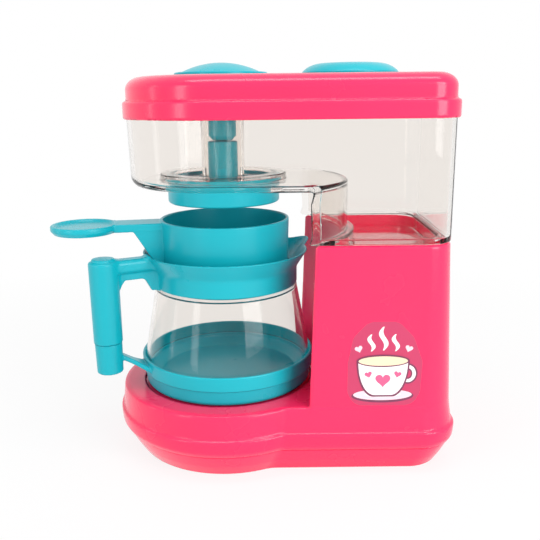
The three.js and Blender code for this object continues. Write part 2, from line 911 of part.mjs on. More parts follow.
function lid() {
  const wellRadius = buttonRadius + wellGap;
  const socket = revolve([
    [guideSeat, wellUnderZ - guideSocketDepth],
    [guideSeat + guideSeatWall, wellUnderZ - guideSocketDepth],
    [guideSeat + guideSeatWall, wellUnderZ + bite],
    [guideSeat, wellUnderZ + bite],
  ], postSteps);
  const well = cylinder(wellRadius + wellWall, wellUnderZ, lidTopZ - bite);
  const port = cylinder(portRadius + portWall, lidTopZ - portDepth, lidTopZ - bite);
  const body = union(cut(lidForm(), lidHollow()), well, socket, port.translate([capCentre, 0, 0]));
  const mouth = cylinder(portRadius, lidTopZ - portDepth - cutOverrun, lidTopZ + cutOverrun);
  return cut(
    body,
    cylinder(wellRadius, wellFloorZ, lidTopZ + cutOverrun),
    cylinder(rodNeck + runningGap, wellUnderZ - cutOverrun, wellFloorZ + cutOverrun, postSteps),
    mouth.translate([capCentre, 0, 0]),
  );
}

function fillerCap() {
  const footZ = lidTopZ + seatGap;
  const brimZ = footZ + capBrim;
  const topZ = footZ + capHeight;
  const plug = capRadius - capPlugInset;
  const plugZ = lidTopZ - capPlugDepth;
  const shoulder = arc(0, 0, 1, 90, 0, capSteps).map(([x, y]) =>
    [mix(capFlatRadius, capRadius, x), mix(brimZ, topZ, y)]);
  return revolve([
    [0, topZ - capDish],
    [capFlatRadius - capDish, topZ - capDish],
    ...shoulder,
    [capRadius, footZ],
    [plug, footZ],
    [plug, plugZ],
    [plug - capWall, plugZ],
    [plug - capWall, brimZ],
    [capFlatRadius, topZ - capWall - capDish],
    [0, topZ - capWall - capDish],
  ].reverse()).translate([capCentre, 0, 0]);
}

// Carafe

function dishProfile() {
  const lower = dishRimRadius - dishBandStep;
  const bandZ = dishRimZ - dishBandHeight;
  const seatZ = glassFootZ - seatGap;
  const bore = dishRimRadius - dishWall;
  const floorZ = dishFootZ + dishFootDepth + dishFloor;
  const swell = arc(0, 0, 1, -90, 0, cornerSteps).map(([x, y]) =>
    [mix(dishFootRadius, lower, x), dishFootZ + dishSwell * (1 + y)]);
  return [
    [0, dishFootZ + dishFootDepth],
    [dishFootRadius - dishFootWidth, dishFootZ + dishFootDepth],
    [dishFootRadius - dishFootWidth, dishFootZ],
    ...swell,
    [lower, bandZ],
    [dishRimRadius, bandZ + dishEdge],
    [dishRimRadius, dishRimZ - dishEdge],
    [dishRimRadius - dishEdge, dishRimZ],
    [bore, dishRimZ],
    [bore, seatZ],
    [lower - dishWall - bite, seatZ],
    [lower - dishWall - bite, dishFootZ + dishSwell + dishFloor],
    [dishFootRadius, floorZ],
    [0, floorZ],
  ];
}

function strut() {
  const from = dishRimRadius - dishWall;
  const run = gripAxis - from;
  const rise = Math.atan2(strutRise, run - sleeveRadius);
  const half = strutWidth / 2;
  const flare = strutFlare / 2;
  const flareEnd = run / 2;
  const shape = new THREE.Shape([
    new THREE.Vector2(0, -flare),
    new THREE.Vector2(flareEnd, -half),
    new THREE.Vector2(run / Math.cos(rise), -half),
    new THREE.Vector2(run / Math.cos(rise), half),
    new THREE.Vector2(flareEnd, half),
    new THREE.Vector2(0, flare),
  ]);
  const geometry = new THREE.ExtrudeGeometry(shape, { depth: strutThickness, bevelEnabled: false });
  geometry.rotateY(-rise);
  geometry.translate(from, 0, dishRimZ - strutDrop - strutThickness / 2);
  return solid(geometry);
}

function carafeDish() {
  const sleeve = revolve([
    [0, sleeveFootZ],
    [sleeveRadius - seatGap, sleeveFootZ],
    [sleeveRadius, sleeveTopZ],
    [spigotRadius, sleeveTopZ],
    [spigotRadius, sleeveTopZ + spigotHeight],
    [0, sleeveTopZ + spigotHeight],
  ], postSteps).translate([gripAxis, 0, 0]);
  const inside = cylinder(dishRimRadius - dishWall / 2, dishFootZ, dishRimZ + cutOverrun);
  const lower = turned(cut(union(strut(), sleeve), inside), handleAngle);
  return union(revolve(dishProfile()), lower);
}

function carafeGlass() {
  const bandZ = glassFootZ + glassBandHeight;
  const edgeZ = glassShoulderZ - glassShoulderDrop;
  return revolve([
    [glassRadius, glassFootZ],
    [glassRadius, bandZ],
    [glassShoulderRadius, edgeZ],
    [glassShoulderRadius - glassShoulderDrop, glassShoulderZ],
    [glassNeck, glassShoulderZ],
    [glassNeck, glassTopZ],
    [glassNeck - glassWall, glassTopZ],
    [glassNeck - glassWall, glassShoulderZ - glassWall],
    [glassShoulderRadius - glassWall, edgeZ - glassWall],
    [glassRadius - glassWall, bandZ],
    [glassRadius - glassWall, glassFootZ],
  ]);
}

function lipShare(angle) {
  const away = Math.abs(((angle - lipAngle + 540) % 360) - 180) / lipSpread;
  return away < 1 ? (1 + Math.cos(Math.PI * away)) / 2 : 0;
}

// Rim, funnel and band as one section that swells outwards and up at the pouring lip
function collarRing() {
  const inner = collarBandRadius - collarWall;
  const ledge = inner - collarLedgeWidth;
  const section = (share) => [
    [collarBore, collarFootZ],
    [collarBandRadius, collarFootZ],
    [collarBandRadius, collarBandZ],
    [collarRim + lipReach * share, collarRimZ + lipRise * share],
    [collarRim - collarRimWall + lipReach * share, collarRimZ + lipRise * share],
    [inner, collarBandZ],
    [inner, collarSeatZ],
    [ledge, collarSeatZ],
    [ledge, collarLedgeZ],
    [collarBore, collarLedgeZ],
  ];
  const steps = roundSteps + bossSteps;
  const count = section(0).length;
  const positions = Array.from({ length: steps }, (_, i) => {
    const angle = (360 * i) / steps;
    const [cos, sin] = [Math.cos(toRadians(angle)), Math.sin(toRadians(angle))];
    return section(lipShare(angle)).flatMap(([radius, z]) => [radius * cos, radius * sin, z]);
  }).flat();
  const faces = [];
  for (let i = 0; i < steps; i += 1) {
    for (let j = 0; j < count; j += 1) {
      const a = i * count + j;
      const b = i * count + ((j + 1) % count);
      const next = ((i + 1) % steps) * count;
      faces.push(a, next + j, next + ((j + 1) % count), a, next + ((j + 1) % count), b);
    }
  }
  const geometry = new THREE.BufferGeometry();
  geometry.setAttribute('position', new THREE.Float32BufferAttribute(positions, 3));
  geometry.setIndex(faces);
  return solid(geometry);
}

function roundedBar(length, width, height, round) {
  const shape = new THREE.Shape([
    ...arc(width / 2 - round, -height / 2 + round, round, -90, 0, edgeSteps),
    ...arc(width / 2 - round, height / 2 - round, round, 0, 90, edgeSteps),
    ...arc(-width / 2 + round, height / 2 - round, round, 90, 180, edgeSteps),
    ...arc(-width / 2 + round, -height / 2 + round, round, 180, 270, edgeSteps),
  ].map(([x, y]) => new THREE.Vector2(x, y)));
  const geometry = new THREE.ExtrudeGeometry(shape, { depth: length, bevelEnabled: false });
  geometry.rotateX(Math.PI / 2);
  geometry.rotateZ(Math.PI / 2);
  return solid(geometry);
}

function gripBody() {
  const bore = spigotRadius + seatGap;
  const shoulderZ = gripTopZ - gripShoulder;
  const crown = gripRadius - gripCrown;
  return revolve([
    [0, gripFootZ + spigotHeight],
    [bore, gripFootZ + spigotHeight],
    [bore, gripFootZ],
    [gripFootRadius, gripFootZ],
    [gripRadius, shoulderZ],
    [gripRadius - gripCrown / 3, shoulderZ + gripCrown],
    [crown, shoulderZ + gripCrown],
    [crown - gripCrown, gripTopZ - gripCrown / 3],
    [0, gripTopZ],
  ], postSteps).translate([gripAxis, 0, 0]);
}

function carafeCollar() {
  const armTopZ = collarRimZ - armDrop;
  const armZ = armTopZ - armHeight / 2;
  const webZ = armTopZ - handleWebDrop;
  const root = collarBandRadius - collarWall / 2;
  const gripFace = gripAxis - gripRadius;
  const arm = roundedBar(gripAxis - root, armWidth, armHeight, armRound).translate([root, 0, armZ]);
  const web = plate([
    [root, collarFootZ],
    [collarBandRadius + handleWebFoot, collarFootZ],
    [collarBandRadius + collarGussetRun, webZ],
    [gripFace - gripGussetRun, webZ],
    [gripFace, webZ - gripGussetDrop],
    [gripAxis, webZ - gripGussetDrop],
    [gripAxis, armZ],
    [root, armZ],
  ], handleWeb);
  const inside = revolve([
    [0, collarFootZ],
    [root, collarFootZ],
    [root, collarBandZ],
    [collarRim - collarRimWall / 2, collarRimZ],
    [collarRim, collarRimZ + cutOverrun],
    [0, collarRimZ + cutOverrun],
  ]);
  const handle = turned(cut(union(arm, web, gripBody()), inside), handleAngle);
  return union(collarRing(), handle);
}

// Filter basket

function basketCup() {
  const foot = basketRadius - basketTaper;
  return revolve([
    [0, basketFootZ],
    [foot - basketEdge, basketFootZ],
    [foot, basketFootZ + basketEdge],
    [basketRadius, basketRimZ - basketEdge],
    [basketRadius - basketEdge, basketRimZ],
    [basketRadius - basketWall, basketRimZ],
    [foot - basketWall, basketFootZ + basketFloor],
    [0, basketFootZ + basketFloor],
  ]);
}

function paddle() {
  const topZ = basketRimZ - basketArmDrop;
  const footZ = topZ - paddleThickness;
  const dish = paddleRadius - paddleRim;
  return revolve([
    [0, footZ],
    [paddleRadius - 2 * paddleEdge, footZ],
    [paddleRadius, footZ + paddleThickness / 2],
    [paddleRadius - paddleEdge, topZ],
    [dish, topZ],
    [dish - paddleDish, topZ - paddleDish],
    [0, topZ - paddleDish],
  ], postSteps).translate([paddleReach, 0, 0]);
}

function filterBasket() {
  const topZ = basketRimZ - basketArmDrop;
  const underZ = topZ - basketArmThickness;
  const root = basketRadius - basketWall;
  const armEnd = paddleReach - paddleRadius + paddleRim;
  const arm = plate([
    [root, underZ],
    [armEnd, underZ],
    [armEnd, topZ],
    [root, topZ],
  ], basketArmWidth);
  const webSide = (basketArmWidth - basketWeb) / 2;
  const web = (side) => plate([
    [root, underZ - basketWebDrop],
    [basketRadius, underZ - basketWebDrop],
    [basketRadius + basketWebReach, underZ],
    [basketRadius + basketWebReach, underZ + bite],
    [root, underZ + bite],
  ], basketWeb, side);
  const inside = cylinder(basketRadius - basketWall / 2, basketFootZ, basketRimZ + cutOverrun);
  const handle = cut(union(arm, web(webSide), web(-webSide), paddle()), inside);
  const drains = around(drainHoles, (angle) => {
    const hole = post(drainRing, 0, drainHoleRadius, basketFootZ - cutOverrun, basketRimZ);
    return turned(hole, angle);
  });
  return cut(union(basketCup(), turned(handle, basketHandleAngle)), ...drains);
}

const coffeeMaker = new THREE.Group();

function add(name, shape, colour) {
  const mesh = new THREE.Mesh(toGeometry(shape), new THREE.MeshStandardMaterial(colours[colour]));
  mesh.name = name;
  coffeeMaker.add(mesh);
}

add('base_housing', baseHousing(), 'pink');
add('base_cover', baseCover(), 'pink');
screwPlaces().forEach((place, i) => add(`cover_screw_${i + 1}`, coverScrew(place), 'steel'));
add('water_tank', waterTank(), 'clear');
add('guide_tube', guideTube(), 'clear');
add('drip_cap', dripCap(), 'turquoise');
add('valve_stem', valveStem(), 'turquoise');
add('valve_seal', valveSeal(), 'rubber');
add('valve_spring', valveSpring(), 'steel');
add('lid', lid(), 'pink');
add('push_button', pushButton(), 'turquoise');
add('push_rod', pushRod(), 'turquoise');
add('filler_cap', fillerCap(), 'turquoise');
add('carafe_dish', carafeDish(), 'turquoise');
add('carafe_glass', carafeGlass(), 'clear');
add('carafe_collar', carafeCollar(), 'turquoise');
add('filter_basket', filterBasket(), 'turquoise');

export default coffeeMaker;
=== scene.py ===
import math

import bmesh
import bpy
import numpy as np
from mathutils import Matrix, Vector


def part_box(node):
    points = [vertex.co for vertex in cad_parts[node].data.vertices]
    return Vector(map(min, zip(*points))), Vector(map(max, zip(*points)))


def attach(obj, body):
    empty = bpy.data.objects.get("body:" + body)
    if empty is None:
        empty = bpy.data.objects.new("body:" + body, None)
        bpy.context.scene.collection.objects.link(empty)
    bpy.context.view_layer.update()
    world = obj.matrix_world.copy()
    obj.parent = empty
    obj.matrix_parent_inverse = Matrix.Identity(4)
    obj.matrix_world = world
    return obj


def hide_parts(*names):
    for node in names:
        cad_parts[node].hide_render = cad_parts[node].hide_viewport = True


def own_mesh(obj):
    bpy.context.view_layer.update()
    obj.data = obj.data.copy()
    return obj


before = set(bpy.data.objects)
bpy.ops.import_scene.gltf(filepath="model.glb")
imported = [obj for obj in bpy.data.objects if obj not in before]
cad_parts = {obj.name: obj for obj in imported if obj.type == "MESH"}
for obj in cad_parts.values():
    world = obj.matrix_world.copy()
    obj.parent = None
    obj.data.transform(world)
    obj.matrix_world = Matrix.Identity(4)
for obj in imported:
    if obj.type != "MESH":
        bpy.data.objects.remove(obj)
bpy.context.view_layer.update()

# Lengths are in millimetres; MM turns them into the frame's metres.
MM = 0.001


def low(node):
    """The lowest height of a node of the model."""
    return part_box(node)[0][2] / MM


def high(node):
    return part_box(node)[1][2] / MM


# Sizes of the model

SEAT_GAP = 0.3
WALL = 2.3
EDGE = 0.3
OVERRUN = 2
# Sections of solid floors reach past the axis
PAST_AXIS = -6
# Keeps the field of a slanted side at about 1 mm to the millimetre
CONE_SLOPE = 0.85

BASE_TOP = 34.0
BASE_RADIUS = 56.7
BASE_HALF = 49.3
BASE_RIGHT = 112.3
BASE_CORNER = 18.0
CORNER_SHARE = 0.3
BLEND_RADIUS = 7.0
PARTING = 13.0
PARTING_STEP = 0.5
FLANK = 10.0
# Height as a share of the base, then the inset at the round end and along the column
FLANK_SHARES = [
    (0, 1, 0.78), (0.02, 0.93, 0.72), (0.06, 0.84, 0.65), (0.18, 0.58, 0.45), (0.38, 0.18, 0.14),
    (0.47, 0.03, 0.03), (0.6, 0, 0), (0.63, 0.01, 0.01), (0.66, 0.12, 0.12), (0.7, 0.135, 0.14),
    (0.85, 0.18, 0.22), (0.93, 0.21, 0.27), (0.975, 0.24, 0.3), (0.99, 0.3, 0.35), (1, 0.42, 0.42),
]
STEP_START = 6.1
PARTING_EDGE = 0.35
BASE_EDGE = 0.5
RECESS_RADIUS = 43.8
RECESS_DEPTH = 1.3
RECESS_EDGE = 0.7

COLUMN_TOP = high("base_housing") - 0.7
COLUMN_FOOT = 2.9
COLUMN_TOP_HALF = 43.8
COLUMN_TOP_RIGHT = 106.0
COLUMN_TOP_CORNER = 11.5
COLUMN_EDGE = 2.5
COLUMN_TOP_EDGE = 1.4
COLUMN_ROOT_SHARE = 0.6
COLUMN_FILLET = 1.0
COLUMN_RECESS = 10.2
POCKET_CORNER = 17.0
POCKET_EDGE, POCKET_FILLET = 0.4, 0.8
BAY_RADIUS = 60.3

SCREW_PLACES = [(-27, -24), (-27, 24), (90, -27), (90, 27)]
COUNTERBORE_RADIUS = 3.4
COUNTERBORE_DEPTH = 3.2

TANK_TOP = high("water_tank")
TANK_UNDER = TANK_TOP - 37.1
TANK_FLOOR = TANK_UNDER + 2.7
TANK_SEAT = TANK_UNDER - 23.6
TANK_WALL = 2.0
TANK_SEAT_HALF = 44.5
TANK_TOP_HALF = 46.0
TANK_TOP_CORNER = 13.0
TANK_BAY = BAY_RADIUS - 0.7
TANK_ROUND = 4.5
PLUG_INSET = WALL + SEAT_GAP
PLUG_DEPTH = 7.5
GROOVE = (25.4, 29.6)
GROOVE_WALL = 1.5
GROOVE_TOP = TANK_FLOOR + 1.5
FLOOR_HOLE = 8.4

LID_FOOT = low("lid")
LID_TOP = high("lid")
LID_SEAT = LID_FOOT + 5.75
LID_STEP_Z = LID_FOOT + 8.35
LID_STEP = 1.8
LID_WALL = 1.2
LID_HALF, LID_RIGHT, LID_CORNER = 47.5, 107.5, 14.5
LID_ROUND_RUN, LID_ROUND_RISE = 8.0, 6.0
WELL_RADIUS = 23.2
WELL_FLOOR = LID_TOP - 7.1
PORT_RADIUS = 20.3
RING_WALL = 1.6
CAP_CENTRE = 62.1
CAP_SHOULDER = 35

GUIDE_RADIUS = 10.5
GUIDE_WALL = 1.4
SOCKET = (10.8, 12.0)
ROD_NECK = 4.7
STEM_BORE = high("valve_stem") - 8.5
CAP_FLOOR = low("drip_cap") + 1.5
SPRING_RADIUS, SPRING_WIRE, SPRING_TURNS = 3.8, 0.45, 6

DISH_FOOT = low("carafe_dish")
DISH_RIM = DISH_FOOT + 15.4
DISH_RADIUS = 44.5
DISH_WALL = 1.4
HANDLE_ANGLE = 205
GRIP_AXIS = 62.5
GRIP_RADIUS = 7.05
SLEEVE_RADIUS = 6.6
GLASS_FOOT = low("carafe_glass")
GLASS_TOP = high("carafe_glass")
GLASS_SHOULDER = GLASS_TOP - 4.2
COLLAR_FOOT = GLASS_SHOULDER + SEAT_GAP
COLLAR_BAND = COLLAR_FOOT + 8.5
COLLAR_RIM = COLLAR_BAND + 8.6
COLLAR_RADIUS = 36.4
COLLAR_WALL = 1.7
COLLAR_FLARE = 5.5
ARM_TOP = COLLAR_RIM - 0.2
LIP_ANGLE, LIP_SPREAD, LIP_REACH, LIP_RISE = 24, 15, 5.6, 1.9

BASKET_FOOT = low("filter_basket")
BASKET_RIM = high("filter_basket")
BASKET_RADIUS = 32.5
BASKET_WALL = 1.6
BASKET_TAPER = 0.8
BASKET_ANGLE = 190
PADDLE_TOP = BASKET_RIM - 0.7
PADDLE_REACH = 69.0
PADDLE_RADIUS = 16.2
PADDLE_RIM = 2

# Spacing of the mesh points of the mouldings
FINE, HOUSING_STEP, COARSE = 0.6, 0.76, 0.8

# Distance fields: negative inside, about 1 mm to the millimetre


def both(a, b, radius=0.0):
    """Where two fields overlap, the edge between them rounded."""
    if np.ndim(radius) == 0 and radius == 0:
        return np.maximum(a, b)
    outer = np.hypot(np.maximum(a + radius, 0), np.maximum(b + radius, 0))
    return np.minimum(np.maximum(a, b), -radius) + outer


def either(a, b, radius=0.0):
    """Two fields joined, with a fillet in the corner between them."""
    if radius == 0:
        return np.minimum(a, b)
    inner = np.hypot(np.maximum(radius - a, 0), np.maximum(radius - b, 0))
    return np.maximum(np.minimum(a, b), radius) - inner


def without(a, b, radius=0.0):
    return both(a, -b, radius)


def bar(u, v, u_range, v_range, radius=0.0):
    """A rectangle in two coordinates, with rounded corners."""
    du = np.abs(u - sum(u_range) / 2) - (u_range[1] - u_range[0]) / 2 + radius
    dv = np.abs(v - sum(v_range) / 2) - (v_range[1] - v_range[0]) / 2 + radius
    outer = np.hypot(np.maximum(du, 0), np.maximum(dv, 0))
    return outer + np.minimum(np.maximum(du, dv), 0) - radius


def end_plan(x, y, half, right, corner):
    """Straight flanks that meet a square end in round corners."""
    dx = x - (right - corner)
    dy = np.abs(y) - (half - corner)
    return np.where((dx > 0) & (dy > 0), np.hypot(dx, dy), np.maximum(dx, dy)) - corner


def stadium_plan(x, y, half, right, corner):
    """As end_plan, closed on the other side by a half circle about the axis."""
    return np.where(x < 0, np.hypot(x, y) - half, end_plan(x, y, half, right, corner))


def base_plan(x, y, pull, corner):
    """The base from above; a pull draws the column's end in further than the round end."""
    y = np.abs(y)
    blend_y = BASE_HALF - pull + BLEND_RADIUS
    blend_x = np.sqrt((BASE_RADIUS + BLEND_RADIUS) ** 2 - blend_y ** 2)
    hollow = BLEND_RADIUS - np.hypot(x - blend_x, y - blend_y)
    past_round_end = blend_y * x - blend_x * y > 0
    end = end_plan(x, y, BASE_HALF - pull, BASE_RIGHT - pull, corner)
    return np.where(x > blend_x, end, np.where(past_round_end, hollow, np.hypot(x, y) - BASE_RADIUS))


def mix(a, b, share):
    return a + (b - a) * share


class Curve:
    """A smooth monotone curve through a table of points."""

    def __init__(self, table, x_scale, y_scale, count=24):
        xs = np.array([row[0] for row in table]) * x_scale
        ys = np.array([row[1] for row in table]) * y_scale
        step = np.diff(xs)
        slope = np.diff(ys) / step
        tangent = np.concatenate([slope[:1], np.zeros(len(slope) - 1), slope[-1:]])
        for i in range(1, len(slope)):
            if slope[i - 1] * slope[i] > 0:
                tangent[i] = 2 / (1 / slope[i - 1] + 1 / slope[i])
        t = np.arange(count) / count
        rise = 3 * t ** 2 - 2 * t ** 3
        self.x, self.y = [], []
        for i in range(len(step)):
            bend = step[i] * (tangent[i] * t * (1 - t) ** 2 - tangent[i + 1] * t ** 2 * (1 - t))
            self.x.extend(xs[i] + t * step[i])
            self.y.extend(mix(ys[i], ys[i + 1], rise) + bend)
        self.x.append(xs[-1])
        self.y.append(ys[-1])

    def __call__(self, x):
        return np.interp(x, self.x, self.y)


round_inset = Curve([(share, inset) for share, inset, _ in FLANK_SHARES], BASE_TOP, FLANK)
end_inset = Curve([(share, inset) for share, _, inset in FLANK_SHARES], BASE_TOP, FLANK)


def flank_plan(x, y, z):
    inset = round_inset(z)
    end = end_inset(z)
    return base_plan(x, y, end - inset, BASE_CORNER + inset - CORNER_SHARE * end) + inset


def column_plan(x, y, z):
    share = np.clip((z - BASE_TOP) / (COLUMN_TOP - BASE_TOP), 0, 1)
    half = mix(BASE_HALF - COLUMN_FOOT, COLUMN_TOP_HALF, share)
    right = mix(BASE_RIGHT - COLUMN_FOOT, COLUMN_TOP_RIGHT, share)
    corner = mix(BASE_CORNER - COLUMN_FOOT, COLUMN_TOP_CORNER, share)
    plan = both(end_plan(x, y, half, right, corner), BAY_RADIUS - np.hypot(x, y), COLUMN_EDGE)
    return both(plan, BAY_RADIUS / 2 - x)


def pocket_plan(x, y):
    """The column's top outline with rounder corners, for the pocket and the tank's plug."""
    corners = end_plan(x, y, COLUMN_TOP_HALF, COLUMN_TOP_RIGHT, POCKET_CORNER)
    return both(column_plan(x, y, COLUMN_TOP), corners)


def tank_plan(x, y, z):
    share = (z - TANK_SEAT) / (TANK_TOP - TANK_SEAT)
    half = mix(TANK_SEAT_HALF, TANK_TOP_HALF, share)
    corner = mix(COLUMN_TOP_CORNER, TANK_TOP_CORNER, share)
    return stadium_plan(x, y, half, COLUMN_TOP_RIGHT, corner)


def rounded(points, radii, steps=6):
    """A closed outline with its corners rounded; a radius of 0 keeps a corner sharp."""
    count = len(points)
    if not isinstance(radii, (list, tuple)):
        radii = [radii] * count
    out = []
    for i, point in enumerate(points):
        at = Vector(point)
        before = Vector(points[i - 1]) - at
        after = Vector(points[(i + 1) % count]) - at
        half = before.angle(after) / 2
        if radii[i] == 0 or half > math.radians(87):
            out.append(tuple(at))
            continue
        reach = min(radii[i] / math.tan(half), before.length * 0.49, after.length * 0.49)
        before.normalize()
        after.normalize()
        centre = at + (before + after).normalized() * (reach / math.cos(half))
        first = at + before * reach - centre
        last = at + after * reach - centre
        turn = first.angle(last)
        for step in range(steps + 1):
            share = step / steps
            mixed = first * math.sin((1 - share) * turn) + last * math.sin(share * turn)
            out.append(tuple(centre + mixed / math.sin(turn)))
    return out


def arc(x, y, radius, start, end, steps):
    angles = np.radians(np.linspace(start, end, steps + 1))
    return list(zip(x + radius * np.cos(angles), y + radius * np.sin(angles)))


class Section:
    """The distance to a closed outline, tabled on a fine grid."""

    def __init__(self, outline, margin=3.0, step=0.12):
        points = np.array(outline, float)
        self.step = step
        self.origin = points.min(0) - margin
        size = np.ceil((points.max(0) + margin - self.origin) / step).astype(int) + 1
        u, v = np.meshgrid(*[self.origin[i] + step * np.arange(size[i]) for i in (0, 1)], indexing="ij")
        nearest = np.full(u.shape, 1e9)
        inside = np.zeros(u.shape, bool)
        for a, b in zip(points, np.roll(points, -1, 0)):
            run = b - a
            length = run @ run
            if length == 0:
                continue
            du, dv = u - a[0], v - a[1]
            share = np.clip((du * run[0] + dv * run[1]) / length, 0, 1)
            nearest = np.minimum(nearest, (du - share * run[0]) ** 2 + (dv - share * run[1]) ** 2)
            crosses = (a[1] > v) != (b[1] > v)
            if a[1] != b[1]:
                inside ^= crosses & (u < a[0] + (v - a[1]) * run[0] / run[1])
        self.table = np.where(inside, -1, 1) * np.sqrt(nearest)

    def __call__(self, u, v):
        top = np.array(self.table.shape) - 1.001
        u, v = (u - self.origin[0]) / self.step, (v - self.origin[1]) / self.step
        iu, iv = np.clip(u, 0, top[0]), np.clip(v, 0, top[1])
        past = self.step * np.hypot(u - iu, v - iv)
        i, j = iu.astype(int), iv.astype(int)
        s, t = iu - i, iv - j
        lower = mix(self.table[i, j], self.table[i + 1, j], s)
        upper = mix(self.table[i, j + 1], self.table[i + 1, j + 1], s)
        return mix(lower, upper, t) + past


# Meshes


def grid_values(field, origin, size, block, step):
    """Field values on the grid, worked out only in the blocks that the surface may pass."""
    index = np.indices(size).reshape(3, -1).T
    rough = field(*(origin + (index + 0.5) * block * step).T)
    spread = rough.reshape(size)
    for axis in range(3):
        spread = spread.repeat(block, axis)
    values = np.full(np.array(spread.shape) + 1, 1e3, np.float32)
    values[:-1, :-1, :-1] = spread
    near = index[np.abs(rough) < 1.5 * block * step]
    corner = np.indices((block,) * 3).reshape(3, -1).T
    for batch in np.array_split(near, max(1, len(near) // 1500)):
        cells = (batch[:, None, :] * block + corner[None]).reshape(-1, 3)
        values[tuple(cells.T)] = field(*(origin + cells * step).T)
    return values


def surface_nets(values):
    """Vertices in grid units and quads of the zero surface."""
    inside = values < 0
    sides = np.eye(3, dtype=int)
    shape = values.shape
    cells, places, flips = [], [], []
    for axis in range(3):
        here = [slice(None)] * 3
        there = [slice(None)] * 3
        here[axis], there[axis] = slice(0, -1), slice(1, None)
        start = np.argwhere(inside[tuple(here)] != inside[tuple(there)])
        first = values[tuple(start.T)]
        last = values[tuple((start + sides[axis]).T)]
        places.append(start + (first / (first - last))[:, None] * sides[axis])
        b, c = sides[(axis + 1) % 3], sides[(axis + 2) % 3]
        around = np.stack([start, start - b, start - b - c, start - c], 1)
        cells.append(np.ravel_multi_index(tuple(np.moveaxis(around, -1, 0)), shape))
        flips.append(first < 0)
    cells, places, flips = [np.concatenate(part) for part in (cells, places, flips)]
    _, quads = np.unique(cells, return_inverse=True)
    quads = quads.reshape(-1, 4)
    total = np.bincount(quads.ravel())
    verts = [np.bincount(quads.ravel(), np.repeat(places[:, i], 4)) / total for i in range(3)]
    quads[~flips] = quads[~flips][:, ::-1]
    return np.stack(verts, 1), quads


def slope_of(field, points, reach=0.05):
    parts = []
    for axis in range(3):
        offset = np.zeros(3)
        offset[axis] = reach
        parts.append((field(*(points + offset).T) - field(*(points - offset).T)) / (2 * reach))
    return np.stack(parts, 1)


def implicit(name, field, corners, step=FINE):
    """A mesh of the surface where the field is zero, its points laid exactly on it."""
    block = 8
    origin = np.array(corners[0], float) - 2 * step
    size = np.ceil((np.array(corners[1]) + 2 * step - origin) / step / block).astype(int)
    points, quads = surface_nets(grid_values(field, origin, size, block, step))
    points = origin + points * step
    for _ in range(3):
        slope = slope_of(field, points)
        steep = np.maximum((slope ** 2).sum(1), 0.2)
        move = -(field(*points.T) / steep)[:, None] * slope
        points = points + np.clip(move, -step / 2, step / 2)
    normals = slope_of(field, points)
    normals /= np.maximum(np.linalg.norm(normals, axis=1), 1e-6)[:, None]
    mesh = mesh_of(name, points, quads)
    mesh.shade_smooth()
    mesh.normals_split_custom_set_from_vertices(normals)
    return link(name, mesh)


def mesh_of(name, points, faces):
    mesh = bpy.data.meshes.new(name)
    mesh.from_pydata(points * MM, [], faces)
    return mesh


def link(name, data):
    obj = bpy.data.objects.new(name, data)
    bpy.context.scene.collection.objects.link(obj)
    return obj


def clean(mesh, sharp=35):
    work = bmesh.new()
    work.from_mesh(mesh)
    bmesh.ops.remove_doubles(work, verts=work.verts, dist=0.002 * MM)
    bmesh.ops.dissolve_degenerate(work, edges=work.edges, dist=0.002 * MM)
    bmesh.ops.recalc_face_normals(work, faces=work.faces)
    work.to_mesh(mesh)
    work.free()
    mesh.shade_smooth()
    mesh.set_sharp_from_angle(angle=math.radians(sharp))


def solid(name, points, faces, sharp=35):
    """A closed mesh, smooth but for its sharp edges."""
    mesh = mesh_of(name, points, faces)
    clean(mesh, sharp)
    return link(name, mesh)


def revolve(name, profile, centre=(0, 0), steps=160):
    """A solid of revolution from (radius, height) points, closed on the axis or on itself."""
    angles = np.arange(steps) * 2 * np.pi / steps
    section = np.array(profile, float)
    count = len(section)
    x = centre[0] + np.outer(np.cos(angles), section[:, 0])
    y = centre[1] + np.outer(np.sin(angles), section[:, 0])
    z = np.tile(section[:, 1], (steps, 1))
    verts = np.stack([x, y, z], -1).reshape(-1, 3)
    faces = []
    for i in range(steps):
        here, there = i * count, (i + 1) % steps * count
        for j in range(count):
            k = (j + 1) % count
            if section[j][0] == 0 and section[k][0] == 0:
                continue
            faces.append((here + j, there + j, there + k, here + k))
    return solid(name, verts, faces)


def block(name, width, depth, low_z, high_z):
    mesh = bpy.data.meshes.new(name)
    work = bmesh.new()
    bmesh.ops.create_cube(work, size=1)
    bmesh.ops.scale(work, vec=(width * MM, depth * MM, (high_z - low_z) * MM), verts=work.verts)
    bmesh.ops.translate(work, vec=(0, 0, (low_z + high_z) / 2 * MM), verts=work.verts)
    work.to_mesh(mesh)
    work.free()
    return link(name, mesh)


def cut(target, *tools):
    for tool in tools:
        step = target.modifiers.new("cut", "BOOLEAN")
        step.operation = "DIFFERENCE"
        step.solver = "EXACT"
        step.object = tool
    bpy.context.view_layer.update()
    graph = bpy.context.evaluated_depsgraph_get()
    baked = bpy.data.meshes.new_from_object(target.evaluated_get(graph))
    target.modifiers.clear()
    target.data = baked
    for tool in tools:
        bpy.data.objects.remove(tool)
    clean(target.data)
    return target


# Housing


def housing_field(x, y, z):
    r = np.hypot(x, y)
    base = both(flank_plan(x, y, z), z - BASE_TOP, BASE_EDGE)
    column = both(column_plan(x, y, z), z - COLUMN_TOP, COLUMN_TOP_EDGE)
    column = both(column, COLUMN_ROOT_SHARE * BASE_TOP - z)
    body = either(base, column, COLUMN_FILLET)
    body = both(body, PARTING + SEAT_GAP / 2 - z, PARTING_EDGE)
    recess = both(r - RECESS_RADIUS, BASE_TOP - RECESS_DEPTH - z)
    pocket = both(pocket_plan(x, y) + WALL, COLUMN_TOP - COLUMN_RECESS - z, POCKET_FILLET)
    return without(without(body, recess, RECESS_EDGE), pocket, POCKET_EDGE)


